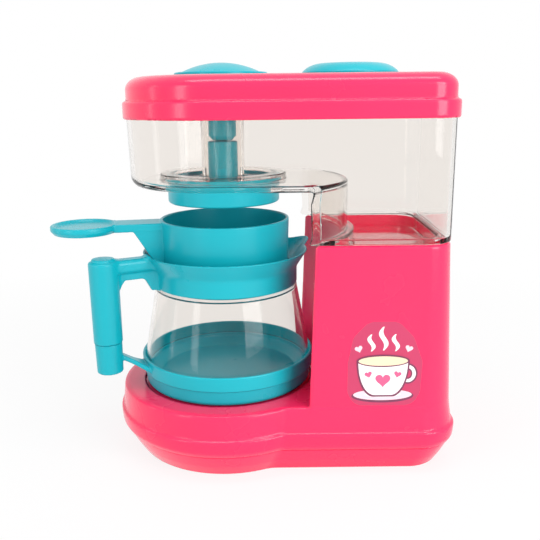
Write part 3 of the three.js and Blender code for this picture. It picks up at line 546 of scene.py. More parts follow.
def cover_field(x, y, z):
    step = PARTING_STEP * np.clip((z - STEP_START) / (PARTING - STEP_START), 0, 1)
    body = both(flank_plan(x, y, z) + step, z - PARTING + SEAT_GAP / 2, PARTING_EDGE)
    body = both(body, -z, BASE_EDGE)
    for place_x, place_y in SCREW_PLACES:
        hole = both(np.hypot(x - place_x, y - place_y) - COUNTERBORE_RADIUS, z - COUNTERBORE_DEPTH)
        body = without(body, hole, EDGE)
    return body


# Tank


def tank_field(x, y, z):
    """A shell with the plug in the column's pocket, the drip cap's groove and the tube's ring."""
    r = np.hypot(x, y)
    plan = tank_plan(x, y, z)
    plug_plan = pocket_plan(x, y) + PLUG_INSET
    plug_foot = TANK_SEAT - PLUG_DEPTH
    ledge = TANK_SEAT + TANK_WALL
    heights = [TANK_SEAT, TANK_SEAT + 4, TANK_UNDER - 5, TANK_UNDER]
    outer_round = np.interp(z, heights, [0.8, COLUMN_EDGE, COLUMN_EDGE, TANK_ROUND])
    inner_round = np.interp(z, heights, [0.4, 1.2, 1.2, 2.2])
    step_edge, step_fillet, inner_fillet, plug_edge, inner_lap = 0.4, 1.0, 1.6, 0.5, 0.8
    under = either(TANK_UNDER - z, both(TANK_BAY - r, TANK_SEAT - z, step_edge), step_fillet)
    plug = both(both(plug_plan, plug_foot - z, plug_edge), z - ledge)
    outer = either(both(plan, under, outer_round), plug)
    floor = either(TANK_FLOOR - z, both(TANK_BAY + TANK_WALL - r, ledge - z, step_edge), inner_fillet)
    plug_in = both(plug_plan + TANK_WALL, plug_foot + TANK_WALL - z, plug_edge)
    inner = both(plan + TANK_WALL, floor, inner_round)
    inner = either(inner, both(plug_in, z - ledge - inner_lap), step_edge)
    shell = both(without(outer, inner), z - TANK_TOP, step_edge)
    root, ring_height, hole_height, groove_reach = TANK_FLOOR - 1, 1.6, 4, 9
    channel_width = (GROOVE[0] - GROOVE_WALL, GROOVE[1] + GROOVE_WALL)
    channel = bar(r, z, channel_width, (root, GROOVE_TOP + GROOVE_WALL), 0.5)
    seat_ring = bar(r, z, SOCKET, (root, TANK_FLOOR + ring_height), EDGE)
    body = either(either(shell, channel, 0.5), seat_ring, EDGE)
    body = without(body, bar(r, z, GROOVE, (TANK_UNDER - groove_reach, GROOVE_TOP), EDGE), EDGE)
    return without(body, both(r - FLOOR_HOLE, z - TANK_FLOOR - hole_height), EDGE)


def guide_tube():
    """A plain tube with a notched foot that lets the water in."""
    foot, top = low("guide_tube"), high("guide_tube")
    inner, notch = GUIDE_RADIUS - GUIDE_WALL, 5
    profile = rounded([(inner, foot), (GUIDE_RADIUS, foot), (GUIDE_RADIUS, top), (inner, top)], EDGE, 3)
    slot = block("slot", 3 * GUIDE_RADIUS, notch, foot - OVERRUN, foot + notch)
    other = block("other_slot", notch, 3 * GUIDE_RADIUS, foot - OVERRUN, foot + notch)
    return cut(revolve("clear_guide_tube", profile), slot, other)


# Valve and drip cap


def closed_profile(points, radii):
    """A rounded profile that starts and ends on the axis."""
    mirrored = [(-r, z) for r, z in reversed(points) if r > 0]
    kept = [s for s, (r, _) in zip(reversed(radii), reversed(points)) if r > 0]
    out = rounded(points + mirrored, radii + kept, 5)
    return [(0, points[0][1])] + [p for p in out if p[0] > 1e-6] + [(0, points[-1][1])]


def valve_stem():
    """A flanged tube with a blind bore for the spring."""
    foot, top = low("valve_stem"), high("valve_stem")
    inner, outer, flange, flange_top = 5, 7.3, 10.6, foot + 1.5
    points = [(0, STEM_BORE), (inner, STEM_BORE), (inner, foot), (flange, foot), (flange, flange_top),
              (outer, flange_top), (outer, top), (0, top)]
    return revolve("valve_stem_moulding", closed_profile(points, [0, 0.3, 0.3, 0.3, 0.3, 0.2, 0.8, 0]))


def valve_spring():
    """A coil of round wire between the drip cap's floor and the bore of the stem."""
    foot = CAP_FLOOR + SEAT_GAP + SPRING_WIRE
    top = STEM_BORE - SEAT_GAP - SPRING_WIRE
    steps, sides = 32, 10
    angles = np.linspace(0, 2 * np.pi * SPRING_TURNS, steps * SPRING_TURNS + 1)
    out = np.stack([np.cos(angles), np.sin(angles), 0 * angles], 1)
    middle = SPRING_RADIUS * out
    middle[:, 2] = np.linspace(foot, top, len(angles))
    along = np.gradient(middle, axis=0)
    across = np.cross(along, out)
    across /= np.linalg.norm(across, axis=1)[:, None]
    rings = [middle + SPRING_WIRE * (math.cos(a) * out + math.sin(a) * across)
             for a in np.arange(sides) * 2 * np.pi / sides]
    verts = np.stack(rings, 1).reshape(-1, 3)
    last = (len(angles) - 1) * sides
    faces = [(i + j, i + (j + 1) % sides, i + sides + (j + 1) % sides, i + sides + j)
             for i in range(0, last, sides) for j in range(sides)]
    faces += [tuple(reversed(range(sides))), tuple(range(last, last + sides))]
    return solid("valve_spring_coil", verts, faces, 60)


def push_rod():
    """A rod with a tapered foot, a neck and a pin."""
    foot, top = low("push_rod"), high("push_rod")
    body, taper, pin = 6.8, 2.2, 3.2
    neck, shoulder = top - 10.1, top - 4.5
    points = [(0, foot), (ROD_NECK, foot), (body, foot + taper), (body, neck), (ROD_NECK, neck),
              (ROD_NECK, shoulder), (pin, shoulder), (pin, top), (0, top)]
    return revolve("push_rod_moulding", closed_profile(points, [0, 0.6, 0.8, 0.3, 0.3, 0.3, 0.2, 0.3, 0]))


def drip_cap():
    """A cup with a bead, a peg for the spring and a ring of holes."""
    foot = low("drip_cap")
    bead, top = foot + 9.2, GROOVE_TOP - SEAT_GAP
    outer, lip, inner, bead_height = 27.7, 29.0, 26.0, 1.6
    peg, peg_top = 2.6, CAP_FLOOR + 3
    points = [(0, foot), (outer, foot), (outer, bead), (lip, bead), (lip, bead + bead_height), (outer, top),
              (inner, top), (inner, CAP_FLOOR), (peg, CAP_FLOOR), (peg, peg_top), (0, peg_top)]
    radii = [0, 1.2, 0.2, 0.3, 0.3, 0.3, 0.3, 0.6, 0.3, 0.3, 0]
    cap = revolve("drip_cap_moulding", closed_profile(points, radii))
    hole, hole_ring, hole_top = 1.4, 18, foot + 4
    drill = rounded([(0, foot - OVERRUN), (hole, foot - OVERRUN), (hole, hole_top), (0, hole_top)], 0)
    places = [(hole_ring * math.cos(a), hole_ring * math.sin(a)) for a in np.radians(range(0, 360, 60))]
    return cut(cap, *[revolve("hole", drill, place, 24) for place in places])


# Lid, button and cap


def lid_field(x, y, z):
    """A crown on a wider skirt, with the button's well and the filler port."""
    r = np.hypot(x, y)
    cap_r = np.hypot(x - CAP_CENTRE, y)
    plan = stadium_plan(x, y, LID_HALF, LID_RIGHT, LID_CORNER)
    skirt = both(plan, z - LID_STEP_Z, 1.5)
    crown = both((plan + LID_STEP) * LID_ROUND_RISE / LID_ROUND_RUN, z - LID_TOP, LID_ROUND_RISE)
    outer = both(either(skirt, crown, 0.5), LID_FOOT - z, 1.1)
    ceiling, hollow_round, rim = LID_TOP - 2, 4.0, LID_TOP - 0.8
    over_tank = both(plan + LID_WALL, z - LID_SEAT)
    hollow = either(over_tank, both(plan + LID_WALL + SEAT_GAP + TANK_WALL, z - ceiling, hollow_round))
    well_under, socket_depth = WELL_FLOOR - RING_WALL, 5
    well = bar(r, z, (-WELL_RADIUS - RING_WALL, WELL_RADIUS + RING_WALL), (well_under, rim), 0.5)
    socket = bar(r, z, SOCKET, (well_under - socket_depth, well_under + 1), EDGE)
    port = bar(cap_r, z, (-PORT_RADIUS - RING_WALL, PORT_RADIUS + RING_WALL), (LID_TOP - 6, rim), 0.5)
    body = either(either(without(outer, hollow), either(well, socket, EDGE), 0.5), port, 0.5)
    body = without(body, both(r - WELL_RADIUS, WELL_FLOOR - z, 0.5), 0.7)
    body = without(body, r - ROD_NECK - 0.5, EDGE)
    return without(body, both(cap_r - PORT_RADIUS, LID_TOP - 8 - z), 0.6)


def push_button():
    """A shallow dome over a skirt, with a tube inside that holds the rod's pin."""
    foot, brim = low("push_button"), high("push_button") - 5.0
    rise, dome_radius = 4.5, 19.2
    top = brim + rise
    sphere = (dome_radius ** 2 + rise ** 2) / (2 * rise)
    spread = math.degrees(math.asin(dome_radius / sphere))
    dome = arc(0, top - sphere, sphere, 90 - spread, 90, 24)[:-1]
    under, socket_top = brim - 1.6, foot + 4.5
    pin, tube, skirt, outer = 3.5, 5.3, 20.9, 22.5
    points = [(0, socket_top), (pin, socket_top), (pin, foot), (tube, foot), (tube, under), (skirt, under),
              (skirt, foot), (outer, foot), (outer, brim), *dome, (0, top)]
    radii = [0, 0.2, 0.2, 0.2, 0.2, 0.5, 0.3, 0.3, 0.9, 0.8] + [0] * len(dome)
    return revolve("push_button_moulding", closed_profile(points, radii))


def filler_cap():
    """A dished top with a soft shoulder, over a hollow plug."""
    foot, plug_foot = LID_TOP + SEAT_GAP, LID_TOP - 5
    brim, top = foot + 1.0, foot + 5.2
    plug, outer, crown, dish = 20.0, 23.2, 13.5, 13.0
    bore, ceiling, dish_floor = plug - 1.8, top - 2.3, top - 0.5
    start = math.radians(CAP_SHOULDER)
    shoulder = [(mix(crown, outer, u / math.cos(start)),
                 mix(brim, top, (v - math.sin(start)) / (1 - math.sin(start))))
                for u, v in arc(0, 0, 1, CAP_SHOULDER, 90, 20)]
    points = [(0, ceiling), (crown, ceiling), (bore, brim), (bore, plug_foot), (plug, plug_foot),
              (plug, foot), (outer, foot), *shoulder, (dish, dish_floor), (0, dish_floor)]
    radii = [0, 1, 0.5, 0.3, 0.5, 0.3, 0.4, 0.4] + [0] * (len(shoulder) - 2) + [0.4, 0.6, 0]
    return revolve("filler_cap_moulding", closed_profile(points, radii), (CAP_CENTRE, 0))


# Carafe


def handle_frame(x, y, angle=HANDLE_ANGLE):
    """Coordinates along and across the plane through the axis at an angle."""
    c, s = math.cos(math.radians(angle)), math.sin(math.radians(angle))
    return x * c + y * s, y * c - x * s


def dish_section():
    """The dish cut through its axis."""
    hollow, foot_edge, lower, inner, floor_edge = 33, 39.6, 42.9, 41.1, 36
    under, floor, wall_foot = DISH_FOOT + 1.2, DISH_FOOT + 3.2, DISH_FOOT + 7
    band, band_step, seat, bore = DISH_RIM - 7.6, 0.5, GLASS_FOOT - SEAT_GAP, DISH_RADIUS - DISH_WALL
    swell = [(mix(foot_edge, lower, u), DISH_FOOT + 2.6 * (1 + v)) for u, v in arc(0, 0, 1, -90, 0, 16)]
    points = [(PAST_AXIS, under), (hollow, under), (hollow, DISH_FOOT), *swell, (lower, band),
              (DISH_RADIUS, band + band_step), (DISH_RADIUS, DISH_RIM), (bore, DISH_RIM), (bore, seat),
              (inner, seat), (inner, wall_foot), (floor_edge, floor), (PAST_AXIS, floor)]
    radii = [0, 0.5, 0.6, 0.6] + [0] * (len(swell) - 1) + [0.3, 0.4, 0.6, 0.4, 0.2, 0.3, 3.5, 3.5, 0]
    return Section(rounded(points, radii))


def strut_field(along, across, z):
    """The strip from the dish to the sleeve, rising outward and flared at its root."""
    start = DISH_RADIUS - DISH_WALL
    run, rise, drop = GRIP_AXIS - start, 8, 4.2
    root_half, end_half, half_thickness, flare_share = 7.5, 3.25, 1.1, 1.8
    tilt = math.atan2(rise, run - SLEEVE_RADIUS)
    height = z - (DISH_RIM - drop)
    s = (along - start) * math.cos(tilt) + height * math.sin(tilt)
    t = height * math.cos(tilt) - (along - start) * math.sin(tilt)
    share = np.clip(s / (run / flare_share), 0, 1)
    half = mix(root_half, end_half, share * share * (3 - 2 * share))
    strip = both(np.abs(across) - half, np.abs(t) - half_thickness, 0.7)
    return both(strip, both(-s - 2, s - run / math.cos(tilt)))


dish_wall = dish_section()


def dish_field(x, y, z):
    """The dish with strut, sleeve and the spigot that goes into the grip."""
    r = np.hypot(x, y)
    along, across = handle_frame(x, y)
    sleeve_r = np.hypot(along - GRIP_AXIS, across)
    foot, height = DISH_RIM - 2.9, 15.2
    top = foot + 15.4
    taper = 0.3 * np.clip((top - z) / height, 0, 1)
    sleeve = both(sleeve_r - SLEEVE_RADIUS + taper, np.abs(z - (foot + top) / 2) - height / 2, 0.6)
    spigot_radius, spigot_middle, spigot_half = 4.2, 3, 5
    spigot = both(sleeve_r - spigot_radius, np.abs(z - top - spigot_middle) - spigot_half, 0.4)
    handle = either(either(sleeve, spigot), strut_field(along, across, z), 1.0)
    handle = both(handle, DISH_RADIUS - DISH_WALL / 2 - r)
    return either(dish_wall(r, z), handle, 0.9)


def carafe_glass():
    """A cone on a straight band, with a neck that goes into the collar."""
    band, edge, neck, shoulder = GLASS_FOOT + 6.2, GLASS_SHOULDER - 0.9, 34.0, 36.3
    outer, inner, wall, chamfer = 42.7, 41.1, 1.6, 0.9
    points = [(outer, GLASS_FOOT), (outer, band), (shoulder, edge), (shoulder - chamfer, GLASS_SHOULDER),
              (neck, GLASS_SHOULDER), (neck, GLASS_TOP), (neck - wall, GLASS_TOP),
              (neck - wall, GLASS_SHOULDER - wall), (shoulder - wall, edge - wall), (inner, band),
              (inner, GLASS_FOOT)]
    radii = [0.3, 6, 0.6, 0.5, 0.4, 0.4, 0.4, 0.8, 0.8, 6, 0.3]
    return revolve("clear_carafe_wall", rounded(points, radii), steps=192)


def collar_section():
    """The collar's band, ledge and funnel, cut through the axis."""
    inner, bore, ledge_radius = COLLAR_RADIUS - COLLAR_WALL, 34.3, 29.5
    rim, rim_wall = COLLAR_RADIUS + COLLAR_FLARE, 1.2
    ledge = GLASS_TOP + SEAT_GAP
    seat = ledge + 1.8
    points = [(bore, COLLAR_FOOT), (COLLAR_RADIUS, COLLAR_FOOT), (COLLAR_RADIUS, COLLAR_BAND),
              (rim, COLLAR_RIM), (rim - rim_wall, COLLAR_RIM), (inner, COLLAR_BAND), (inner, seat),
              (ledge_radius, seat), (ledge_radius, ledge), (bore, ledge)]
    return Section(rounded(points, [0.3, 0.5, 5, 0.5, 0.4, 4, 0.5, 0.3, 0.3, 0.3]), margin=6)


def web_section():
    """The web under the arm seen from the side, with a gusset at either end."""
    under, inside_arm = ARM_TOP - 10.4, ARM_TOP - 3.3
    face, face_run, face_drop = GRIP_AXIS - GRIP_RADIUS, 2.6, 3.4
    root, foot_run, gusset_run = COLLAR_RADIUS - COLLAR_WALL / 2, 3.3, 6.7
    points = [(root, COLLAR_FOOT), (COLLAR_RADIUS + foot_run, COLLAR_FOOT),
              (COLLAR_RADIUS + gusset_run, under), (face - face_run, under), (face, under - face_drop),
              (GRIP_AXIS, under - face_drop), (GRIP_AXIS, inside_arm), (root, inside_arm)]
    return Section(rounded(points, [0, 0.4, 3, 0.8, 0.6, 0, 0, 0]))


def grip_section():
    """The grip with the spigot's bore and a raised disc on top."""
    foot, top = low("carafe_collar"), COLLAR_RIM + 1.2
    shoulder, shoulder_drop, disc_edge, bore_top = top - 1.2, 0.6, top - 0.2, foot + 8
    past, bore, foot_radius, disc = -4, 4.5, 6.95, 5.4
    points = [(past, bore_top), (bore, bore_top), (bore, foot), (foot_radius, foot),
              (GRIP_RADIUS, shoulder - shoulder_drop), (disc, shoulder), (disc, disc_edge), (0, top),
              (past, disc_edge)]
    return Section(rounded(points, [0, 0.2, 0.2, 0.3, 2.2, 0.2, 0.5, 6, 0]))


collar_wall = collar_section()
collar_web = web_section()
collar_grip = grip_section()


def lip_share(x, y):
    """1 in the middle of the pouring lip, falling to 0 at either side of it."""
    away = np.abs((np.degrees(np.arctan2(y, x)) - LIP_ANGLE + 540) % 360 - 180) / LIP_SPREAD
    return np.where(away < 1, (1 + np.cos(np.pi * away)) / 2, 0)


def collar_field(x, y, z):
    """The collar with its pouring lip, arm, web and grip."""
    r = np.hypot(x, y)
    along, across = handle_frame(x, y)
    share = lip_share(x, y)
    rise = np.clip((z - COLLAR_BAND) / (COLLAR_RIM - COLLAR_BAND + LIP_RISE * share), 0, 1)
    lip_slope = 0.9
    ring = collar_wall(r - LIP_REACH * share * rise, z - LIP_RISE * share * rise) * lip_slope
    arm_half, arm_height, arm_round, arm_root, web_half = 4.3, 6.6, 2.2, 34, 2
    arm = bar(across, z, (-arm_half, arm_half), (ARM_TOP - arm_height, ARM_TOP), arm_round)
    arm = both(arm, both(arm_root - along, along - GRIP_AXIS))
    web = both(both(collar_web(along, z), np.abs(across) - web_half, 0.5), -along)
    grip = collar_grip(np.hypot(along - GRIP_AXIS, across), z)
    handle = either(either(arm, web, 1.2), grip, 1.6)
    band_middle, rim_middle = 35.5, 41.3
    funnel = np.interp(z, [COLLAR_FOOT, COLLAR_BAND, COLLAR_RIM], [band_middle, band_middle, rim_middle])
    return either(ring, both(handle, (funnel - r) * CONE_SLOPE), 2.0)


# Basket


def cup_section():
    foot, floor = BASKET_RADIUS - BASKET_TAPER, BASKET_FOOT + 1.8
    points = [(PAST_AXIS, BASKET_FOOT), (foot, BASKET_FOOT), (BASKET_RADIUS, BASKET_RIM),
              (BASKET_RADIUS - BASKET_WALL, BASKET_RIM), (foot - BASKET_WALL, floor), (PAST_AXIS, floor)]
    return Section(rounded(points, [0, 0.8, 0.5, 0.5, 1.0, 0]))


def paddle_section():
    foot, dish, dish_depth = PADDLE_TOP - 4.4, PADDLE_RADIUS - PADDLE_RIM, 1.2
    chamfer_run, chamfer_rise = 1.6, 2
    points = [(PAST_AXIS, foot), (PADDLE_RADIUS - chamfer_run, foot), (PADDLE_RADIUS, foot + chamfer_rise),
              (PADDLE_RADIUS, PADDLE_TOP), (dish, PADDLE_TOP), (dish - dish_depth, PADDLE_TOP - dish_depth),
              (PAST_AXIS, PADDLE_TOP - dish_depth)]
    return Section(rounded(points, [0, 1.2, 1.0, 0.8, 0.5, 0.6, 0]))


cup_wall = cup_section()
paddle_disc = paddle_section()


def basket_field(x, y, z):
    """The cup with its arm on two webs, the paddle and the drain holes."""
    r = np.hypot(x, y)
    along, across = handle_frame(x, y, BASKET_ANGLE)
    under, root, arm_half = PADDLE_TOP - 3.9, 30, 7.5
    arm = bar(across, z, (-arm_half, arm_half), (under, PADDLE_TOP), 0.6)
    arm = both(arm, both(root - along, along - PADDLE_REACH + PADDLE_RADIUS - PADDLE_RIM))
    web_place, web_half, web_reach, web_drop = 6.7, 0.8, 13, 21.5
    side = np.abs(np.abs(across) - web_place) - web_half
    reach = BASKET_RADIUS + web_reach * np.clip((z - under + web_drop) / web_drop, 0, 1)
    web = both((along - reach) * CONE_SLOPE, side, 0.4)
    web = both(both(web, both(under - web_drop - z, z - under - 1)), root - along)
    disc = paddle_disc(np.hypot(along - PADDLE_REACH, across), z)
    handle = either(either(arm, web, 0.5), disc, 0.8)
    body = either(cup_wall(r, z), both(handle, BASKET_RADIUS - BASKET_WALL / 2 - r), 0.7)
    drains, drain_ring, drain_radius, drain_top = 8, 16, 1.3, BASKET_FOOT + 4
    turn = 2 * np.pi / drains
    nearest = np.round(np.arctan2(y, x) / turn) * turn
    drain = np.hypot(x - drain_ring * np.cos(nearest), y - drain_ring * np.sin(nearest)) - drain_radius
    return without(body, both(drain, z - drain_top), 0.25)


# Sticker on the column: a steaming cup with hearts


STICKER_X, STICKER_Z = 74.6, 55.4
# Each layer of film reaches a little into the one below it
LAYER, LAYER_LAP = 0.03, 0.02


def on_column(points, lift):
    """Points of the sticker's own plane laid on the column's front flank."""
    out = []
    for u, v in points:
        z = STICKER_Z + v
        share = (z - BASE_TOP) / (COLUMN_TOP - BASE_TOP)
        out.append((STICKER_X + u, -mix(BASE_HALF - COLUMN_FOOT, COLUMN_TOP_HALF, share) - lift, z))
    return out


def patch(name, outline, layer):
    """A thin sheet with a closed outline, in one of the sticker's layers."""
    count = len(outline)
    front = on_column(outline, LAYER * (layer + 1))
    back = on_column(outline, LAYER * layer - LAYER_LAP)
    sides = [(i, i + count, (i + 1) % count + count, (i + 1) % count) for i in range(count)]
    faces = [tuple(range(count)), tuple(reversed(range(count, 2 * count)))] + sides
    return solid(name, np.array(front + back), faces, 30)


def heart(u, v, size, lean=0.0):
    """The usual heart curve, which is 32 units wide."""
    out = []
    for t in np.radians(np.arange(0, 360, 8)):
        a = 16 * math.sin(t) ** 3
        b = 13 * math.cos(t) - 5 * math.cos(2 * t) - 2 * math.cos(3 * t) - math.cos(4 * t)
        a, b = handle_frame(a, b, -lean)
        out.append((u + a * size / 32, v + b * size / 32))
    return out[::-1]


def oval(u, v, width, height):
    angles = np.radians(np.arange(0, 360, 7.5))
    return [(u + width / 2 * math.cos(a), v + height / 2 * math.sin(a)) for a in angles]


def ribbon(u, v, height, width, sway):
    """A wisp of steam, thin at both ends."""
    left, right = [], []
    for share in np.linspace(0, 1, 25):
        middle = u + sway * math.sin(share * 2 * math.pi)
        half = width / 2 * math.sin(math.pi * (0.08 + 0.84 * share))
        left.append((middle - half, v + height * share))
        right.append((middle + half, v + height * share))
    return right + left[::-1]


def bowl(u, v, width, foot, height):
    """A cup seen from the side, straight at the rim and round at the foot."""
    side = [(mix(foot / 2, width / 2, math.sin(a)), v - height * math.cos(a))
            for a in np.radians(range(0, 91, 6))]
    right = [(u + a, b) for a, b in side]
    return right + [(u - a, b) for a, b in reversed(side)]


# Materials


def srgb(r, g, b):
    def linear(v):
        v /= 255
        return v / 12.92 if v <= 0.04045 else ((v + 0.055) / 1.055) ** 2.4

    return (linear(r), linear(g), linear(b), 1)


class Nodes:
    """Adds nodes to one material by short calls."""

    def __init__(self, name):
        self.material = bpy.data.materials.new(name)
        self.material.use_nodes = True
        self.tree = self.material.node_tree
        self.shader = self.tree.nodes["Principled BSDF"]
        self.coords = self.add("ShaderNodeTexCoord").outputs["Object"]

    def add(self, kind, values=None, **settings):
        node = self.tree.nodes.new(kind)
        for key, value in settings.items():
            setattr(node, key, value)
        for key, value in (values or {}).items():
            node.inputs[key].default_value = value
        return node

    def link(self, source, target):
        self.tree.links.new(source, target)

    def set(self, **values):
        """Gives inputs of the shader a value, or the output of another node."""
        for key, value in values.items():
            target = self.shader.inputs[key.replace("_", " ")]
            if isinstance(value, bpy.types.NodeSocket):
                self.link(value, target)
            else:
                target.default_value = value

    def noise(self, scale, detail=3.0, roughness=0.5, stretch=(1, 1, 1)):
        mapping = self.add("ShaderNodeMapping", {"Scale": stretch})
        self.link(self.coords, mapping.inputs["Vector"])
        node = self.add("ShaderNodeTexNoise", {"Scale": scale, "Detail": detail, "Roughness": roughness})
        self.link(mapping.outputs["Vector"], node.inputs["Vector"])
        return node.outputs["Fac"]

    def ramp(self, source, stops):
        node = self.add("ShaderNodeValToRGB")
        ramp = node.color_ramp
        while len(ramp.elements) < len(stops):
            ramp.elements.new(0.5)
        for element, (at, colour) in zip(ramp.elements, stops):
            element.position = at
            element.color = colour
        self.link(source, node.inputs["Fac"])
        return node.outputs["Color"]

    def spread(self, source, low_value, high_value, start=0.3, end=0.7):
        node = self.add("ShaderNodeMapRange", {"From Min": start, "From Max": end, "To Min": low_value,
                                               "To Max": high_value})
        self.link(source, node.inputs["Value"])
        return node.outputs["Result"]

    def bump(self, height, strength, distance, normal=None):
        node = self.add("ShaderNodeBump", {"Strength": strength, "Distance": distance * MM})
        self.link(height, node.inputs["Height"])
        if normal is not None:
            self.link(normal, node.inputs["Normal"])
        return node.outputs["Normal"]


def moulded_plastic(name, deep, main, light, roughness, coat):
    """Glossy moulding with faint flow marks and a slightly wavy skin."""
    n = Nodes(name)
    flow = n.noise(12, 3, 0.5, (1, 1, 0.35))
    skin = n.bump(n.noise(350, 1, 0.4), 0.15, 0.015)
    n.set(Base_Color=n.ramp(flow, [(0.2, deep), (0.5, main), (0.8, light)]),
          Roughness=n.spread(n.noise(45, 3, 0.5), roughness - 0.03, roughness + 0.04),
          Normal=n.bump(flow, 0.1, 0.2, skin), Coat_Weight=coat, Coat_Roughness=0.16, IOR=1.36)
    return n.material


def clear_plastic(name, tint, roughness):
    """Clear moulded plastic with faint flow lines and rubbed spots."""
    n = Nodes(name)
    n.set(Base_Color=tint, Transmission_Weight=1.0, IOR=1.22, Coat_Weight=0.08, Coat_Roughness=0.02,
          Roughness=n.spread(n.noise(60, 4, 0.6), 0.0, roughness),
          Normal=n.bump(n.noise(26, 3, 0.5, (1, 1, 0.3)), 0.15, 0.2))
    return n.material


def grained(name, colour, metallic, scale, roughness, strength, depth):
    """Metal or rubber with a fine grain; the roughness is a range."""
    n = Nodes(name)
    grain = n.noise(scale, 4, 0.6)
    n.set(Base_Color=colour, Metallic=metallic, Roughness=n.spread(grain, *roughness),
          Normal=n.bump(grain, strength, depth))
    return n.material


PINK = moulded_plastic("pink_plastic", srgb(248, 32, 87), srgb(252, 36, 92), srgb(254, 40, 97), 0.25, 0.45)
TURQUOISE = moulded_plastic("turquoise_plastic", srgb(12, 170, 184), srgb(16, 176, 190), srgb(22, 183, 197),
                            0.3, 0.1)
CLEAR = clear_plastic("clear_plastic", srgb(246, 243, 240), 0.04)
STEEL = grained("screw_steel", srgb(190, 192, 196), 1.0, 700, (0.22, 0.42), 0.15, 0.02)
RUBBER = grained("seal_rubber", srgb(44, 44, 46), 0.0, 500, (0.65, 0.85), 0.2, 0.04)


def dress(obj, body, material, node):
    obj.data.materials.clear()
    obj.data.materials.append(material)
    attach(obj, body)
    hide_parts(node)


def dress_clear(obj, body, node):
    """Clear plastic lets the light through to what it holds."""
    obj.visible_shadow = False
    obj.visible_diffuse = False
    dress(obj, body, CLEAR, node)


def dress_node(node, material):
    for place in bpy.data.objects[node].material_slots:
        place.material = material


dress(implicit("housing_moulding", housing_field, ((-57, -57, 12), (113, 57, 112)), HOUSING_STEP), "frame",
      PINK, "base_housing")
dress(implicit("cover_moulding", cover_field, ((-57, -57, 0), (113, 57, 13)), COARSE), "frame", PINK,
      "base_cover")
dress_clear(implicit("clear_tank", tank_field, ((-46, -46, 104), (108, 46, 172)), COARSE), "frame",
            "water_tank")
dress_clear(guide_tube(), "frame", "guide_tube")
dress(drip_cap(), "frame", TURQUOISE, "drip_cap")
dress(implicit("lid_moulding", lid_field, ((-48, -48, 166), (110, 48, 186)), COARSE), "frame", PINK, "lid")
dress(valve_stem(), "valve", TURQUOISE, "valve_stem")
dress(push_button(), "button", TURQUOISE, "push_button")
dress(push_rod(), "button", TURQUOISE, "push_rod")
dress(filler_cap(), "cap", TURQUOISE, "filler_cap")
dress(implicit("dish_moulding", dish_field, ((-63, -45, 33), (45, 45, 68))), "carafe", TURQUOISE,
      "carafe_dish")
dress_clear(carafe_glass(), "carafe", "carafe_glass")
dress(implicit("collar_moulding", collar_field, ((-64, -48, 59), (48, 48, 106))), "carafe", TURQUOISE,
      "carafe_collar")
dress(implicit("basket_moulding", basket_field, ((-85, -33, 90), (33, 33, 118))), "basket", TURQUOISE,
      "filter_basket")
for number in range(1, 5):
    dress_node(f"cover_screw_{number}", STEEL)
coil = valve_spring()
dress(coil, "valve", STEEL, "valve_spring")
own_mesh(coil)
dress_node("valve_seal", RUBBER)


# Sticker colours and pieces


def printed(name, colour):
    """Printed film: an even, satin ink with a faint grain."""
    n = Nodes(name)
    grain = n.noise(900, 3, 0.6)
    worn = tuple(0.96 * part for part in colour[:3]) + (1,)
    n.set(Base_Color=n.ramp(n.noise(60, 2, 0.5), [(0.3, worn), (0.7, colour)]),
          Roughness=n.spread(grain, 0.32, 0.42), Normal=n.bump(grain, 0.1, 0.01),
          Coat_Weight=0.3, Coat_Roughness=0.12)
    return n.material


ROSE = printed("sticker_rose", srgb(200, 52, 98))
PINK_INK = printed("sticker_pink", srgb(236, 96, 142))
PALE = printed("sticker_pale", srgb(250, 214, 224))
WHITE = printed("sticker_white", srgb(250, 246, 246))
PLUM = printed("sticker_plum", srgb(120, 50, 84))
CREAM = printed("sticker_cream", srgb(252, 226, 190))

BACKING = [(-13, -20.4), (14, -20.4), (17.6, -14), (18.4, 1), (14, 13), (7, 20.4), (-7, 20.4), (-14, 13),
           (-16.4, 1), (-16.6, -14)]
STICKER = [
    ("backing", rounded(BACKING, 6.5, 10), 0, ROSE),
    ("saucer", oval(0, -15.6, 29, 6.8), 1, PLUM),
    ("saucer_top", oval(0, -15.1, 27.4, 5.4), 2, PALE),
    ("saucer_well", oval(0, -14.9, 17, 2.8), 3, WHITE),
    ("handle", oval(11.6, -4.8, 9, 10), 1, PLUM),
    ("handle_body", oval(11.6, -4.8, 7.4, 8.4), 2, WHITE),
    ("handle_hole", oval(11.6, -4.8, 4.2, 5.2), 3, PLUM),
    ("handle_gap", oval(11.6, -4.8, 2.8, 3.8), 4, ROSE),
    ("cup", bowl(0, 1.6, 24.6, 8.6, 17.6), 5, PLUM),
    ("cup_side", bowl(0, 1, 23, 7.4, 16.2), 6, WHITE),
    ("rim", oval(0, 1.6, 24.6, 6), 7, PLUM),
    ("drink", oval(0, 1.5, 22.8, 4.6), 8, CREAM),
    ("steam_left", ribbon(-5.6, 6.2, 8.2, 2.3, 1), 1, WHITE),
    ("steam_middle", ribbon(0, 6.6, 11.4, 2.6, 1.2), 1, WHITE),
    ("steam_right", ribbon(5.6, 6.2, 8.2, 2.3, 1), 1, WHITE),
    ("heart_middle", heart(0, -7.8, 7), 7, PINK_INK),
    ("heart_left", heart(-6.8, -5, 3.4, 14), 7, PINK_INK),
    ("heart_right", heart(6.8, -5, 3.4, -14), 7, PINK_INK),
    ("heart_high_left", heart(-11.4, 7.4, 3.6, 18), 1, PALE),
    ("heart_high_right", heart(11.8, 7.4, 3.6, -18), 1, PALE),
]
for patch_name, outline, layer, ink in STICKER:
    piece = patch(f"sticker_{patch_name}", outline, layer)
    piece.data.materials.append(ink)
    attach(piece, "frame")


# Stage


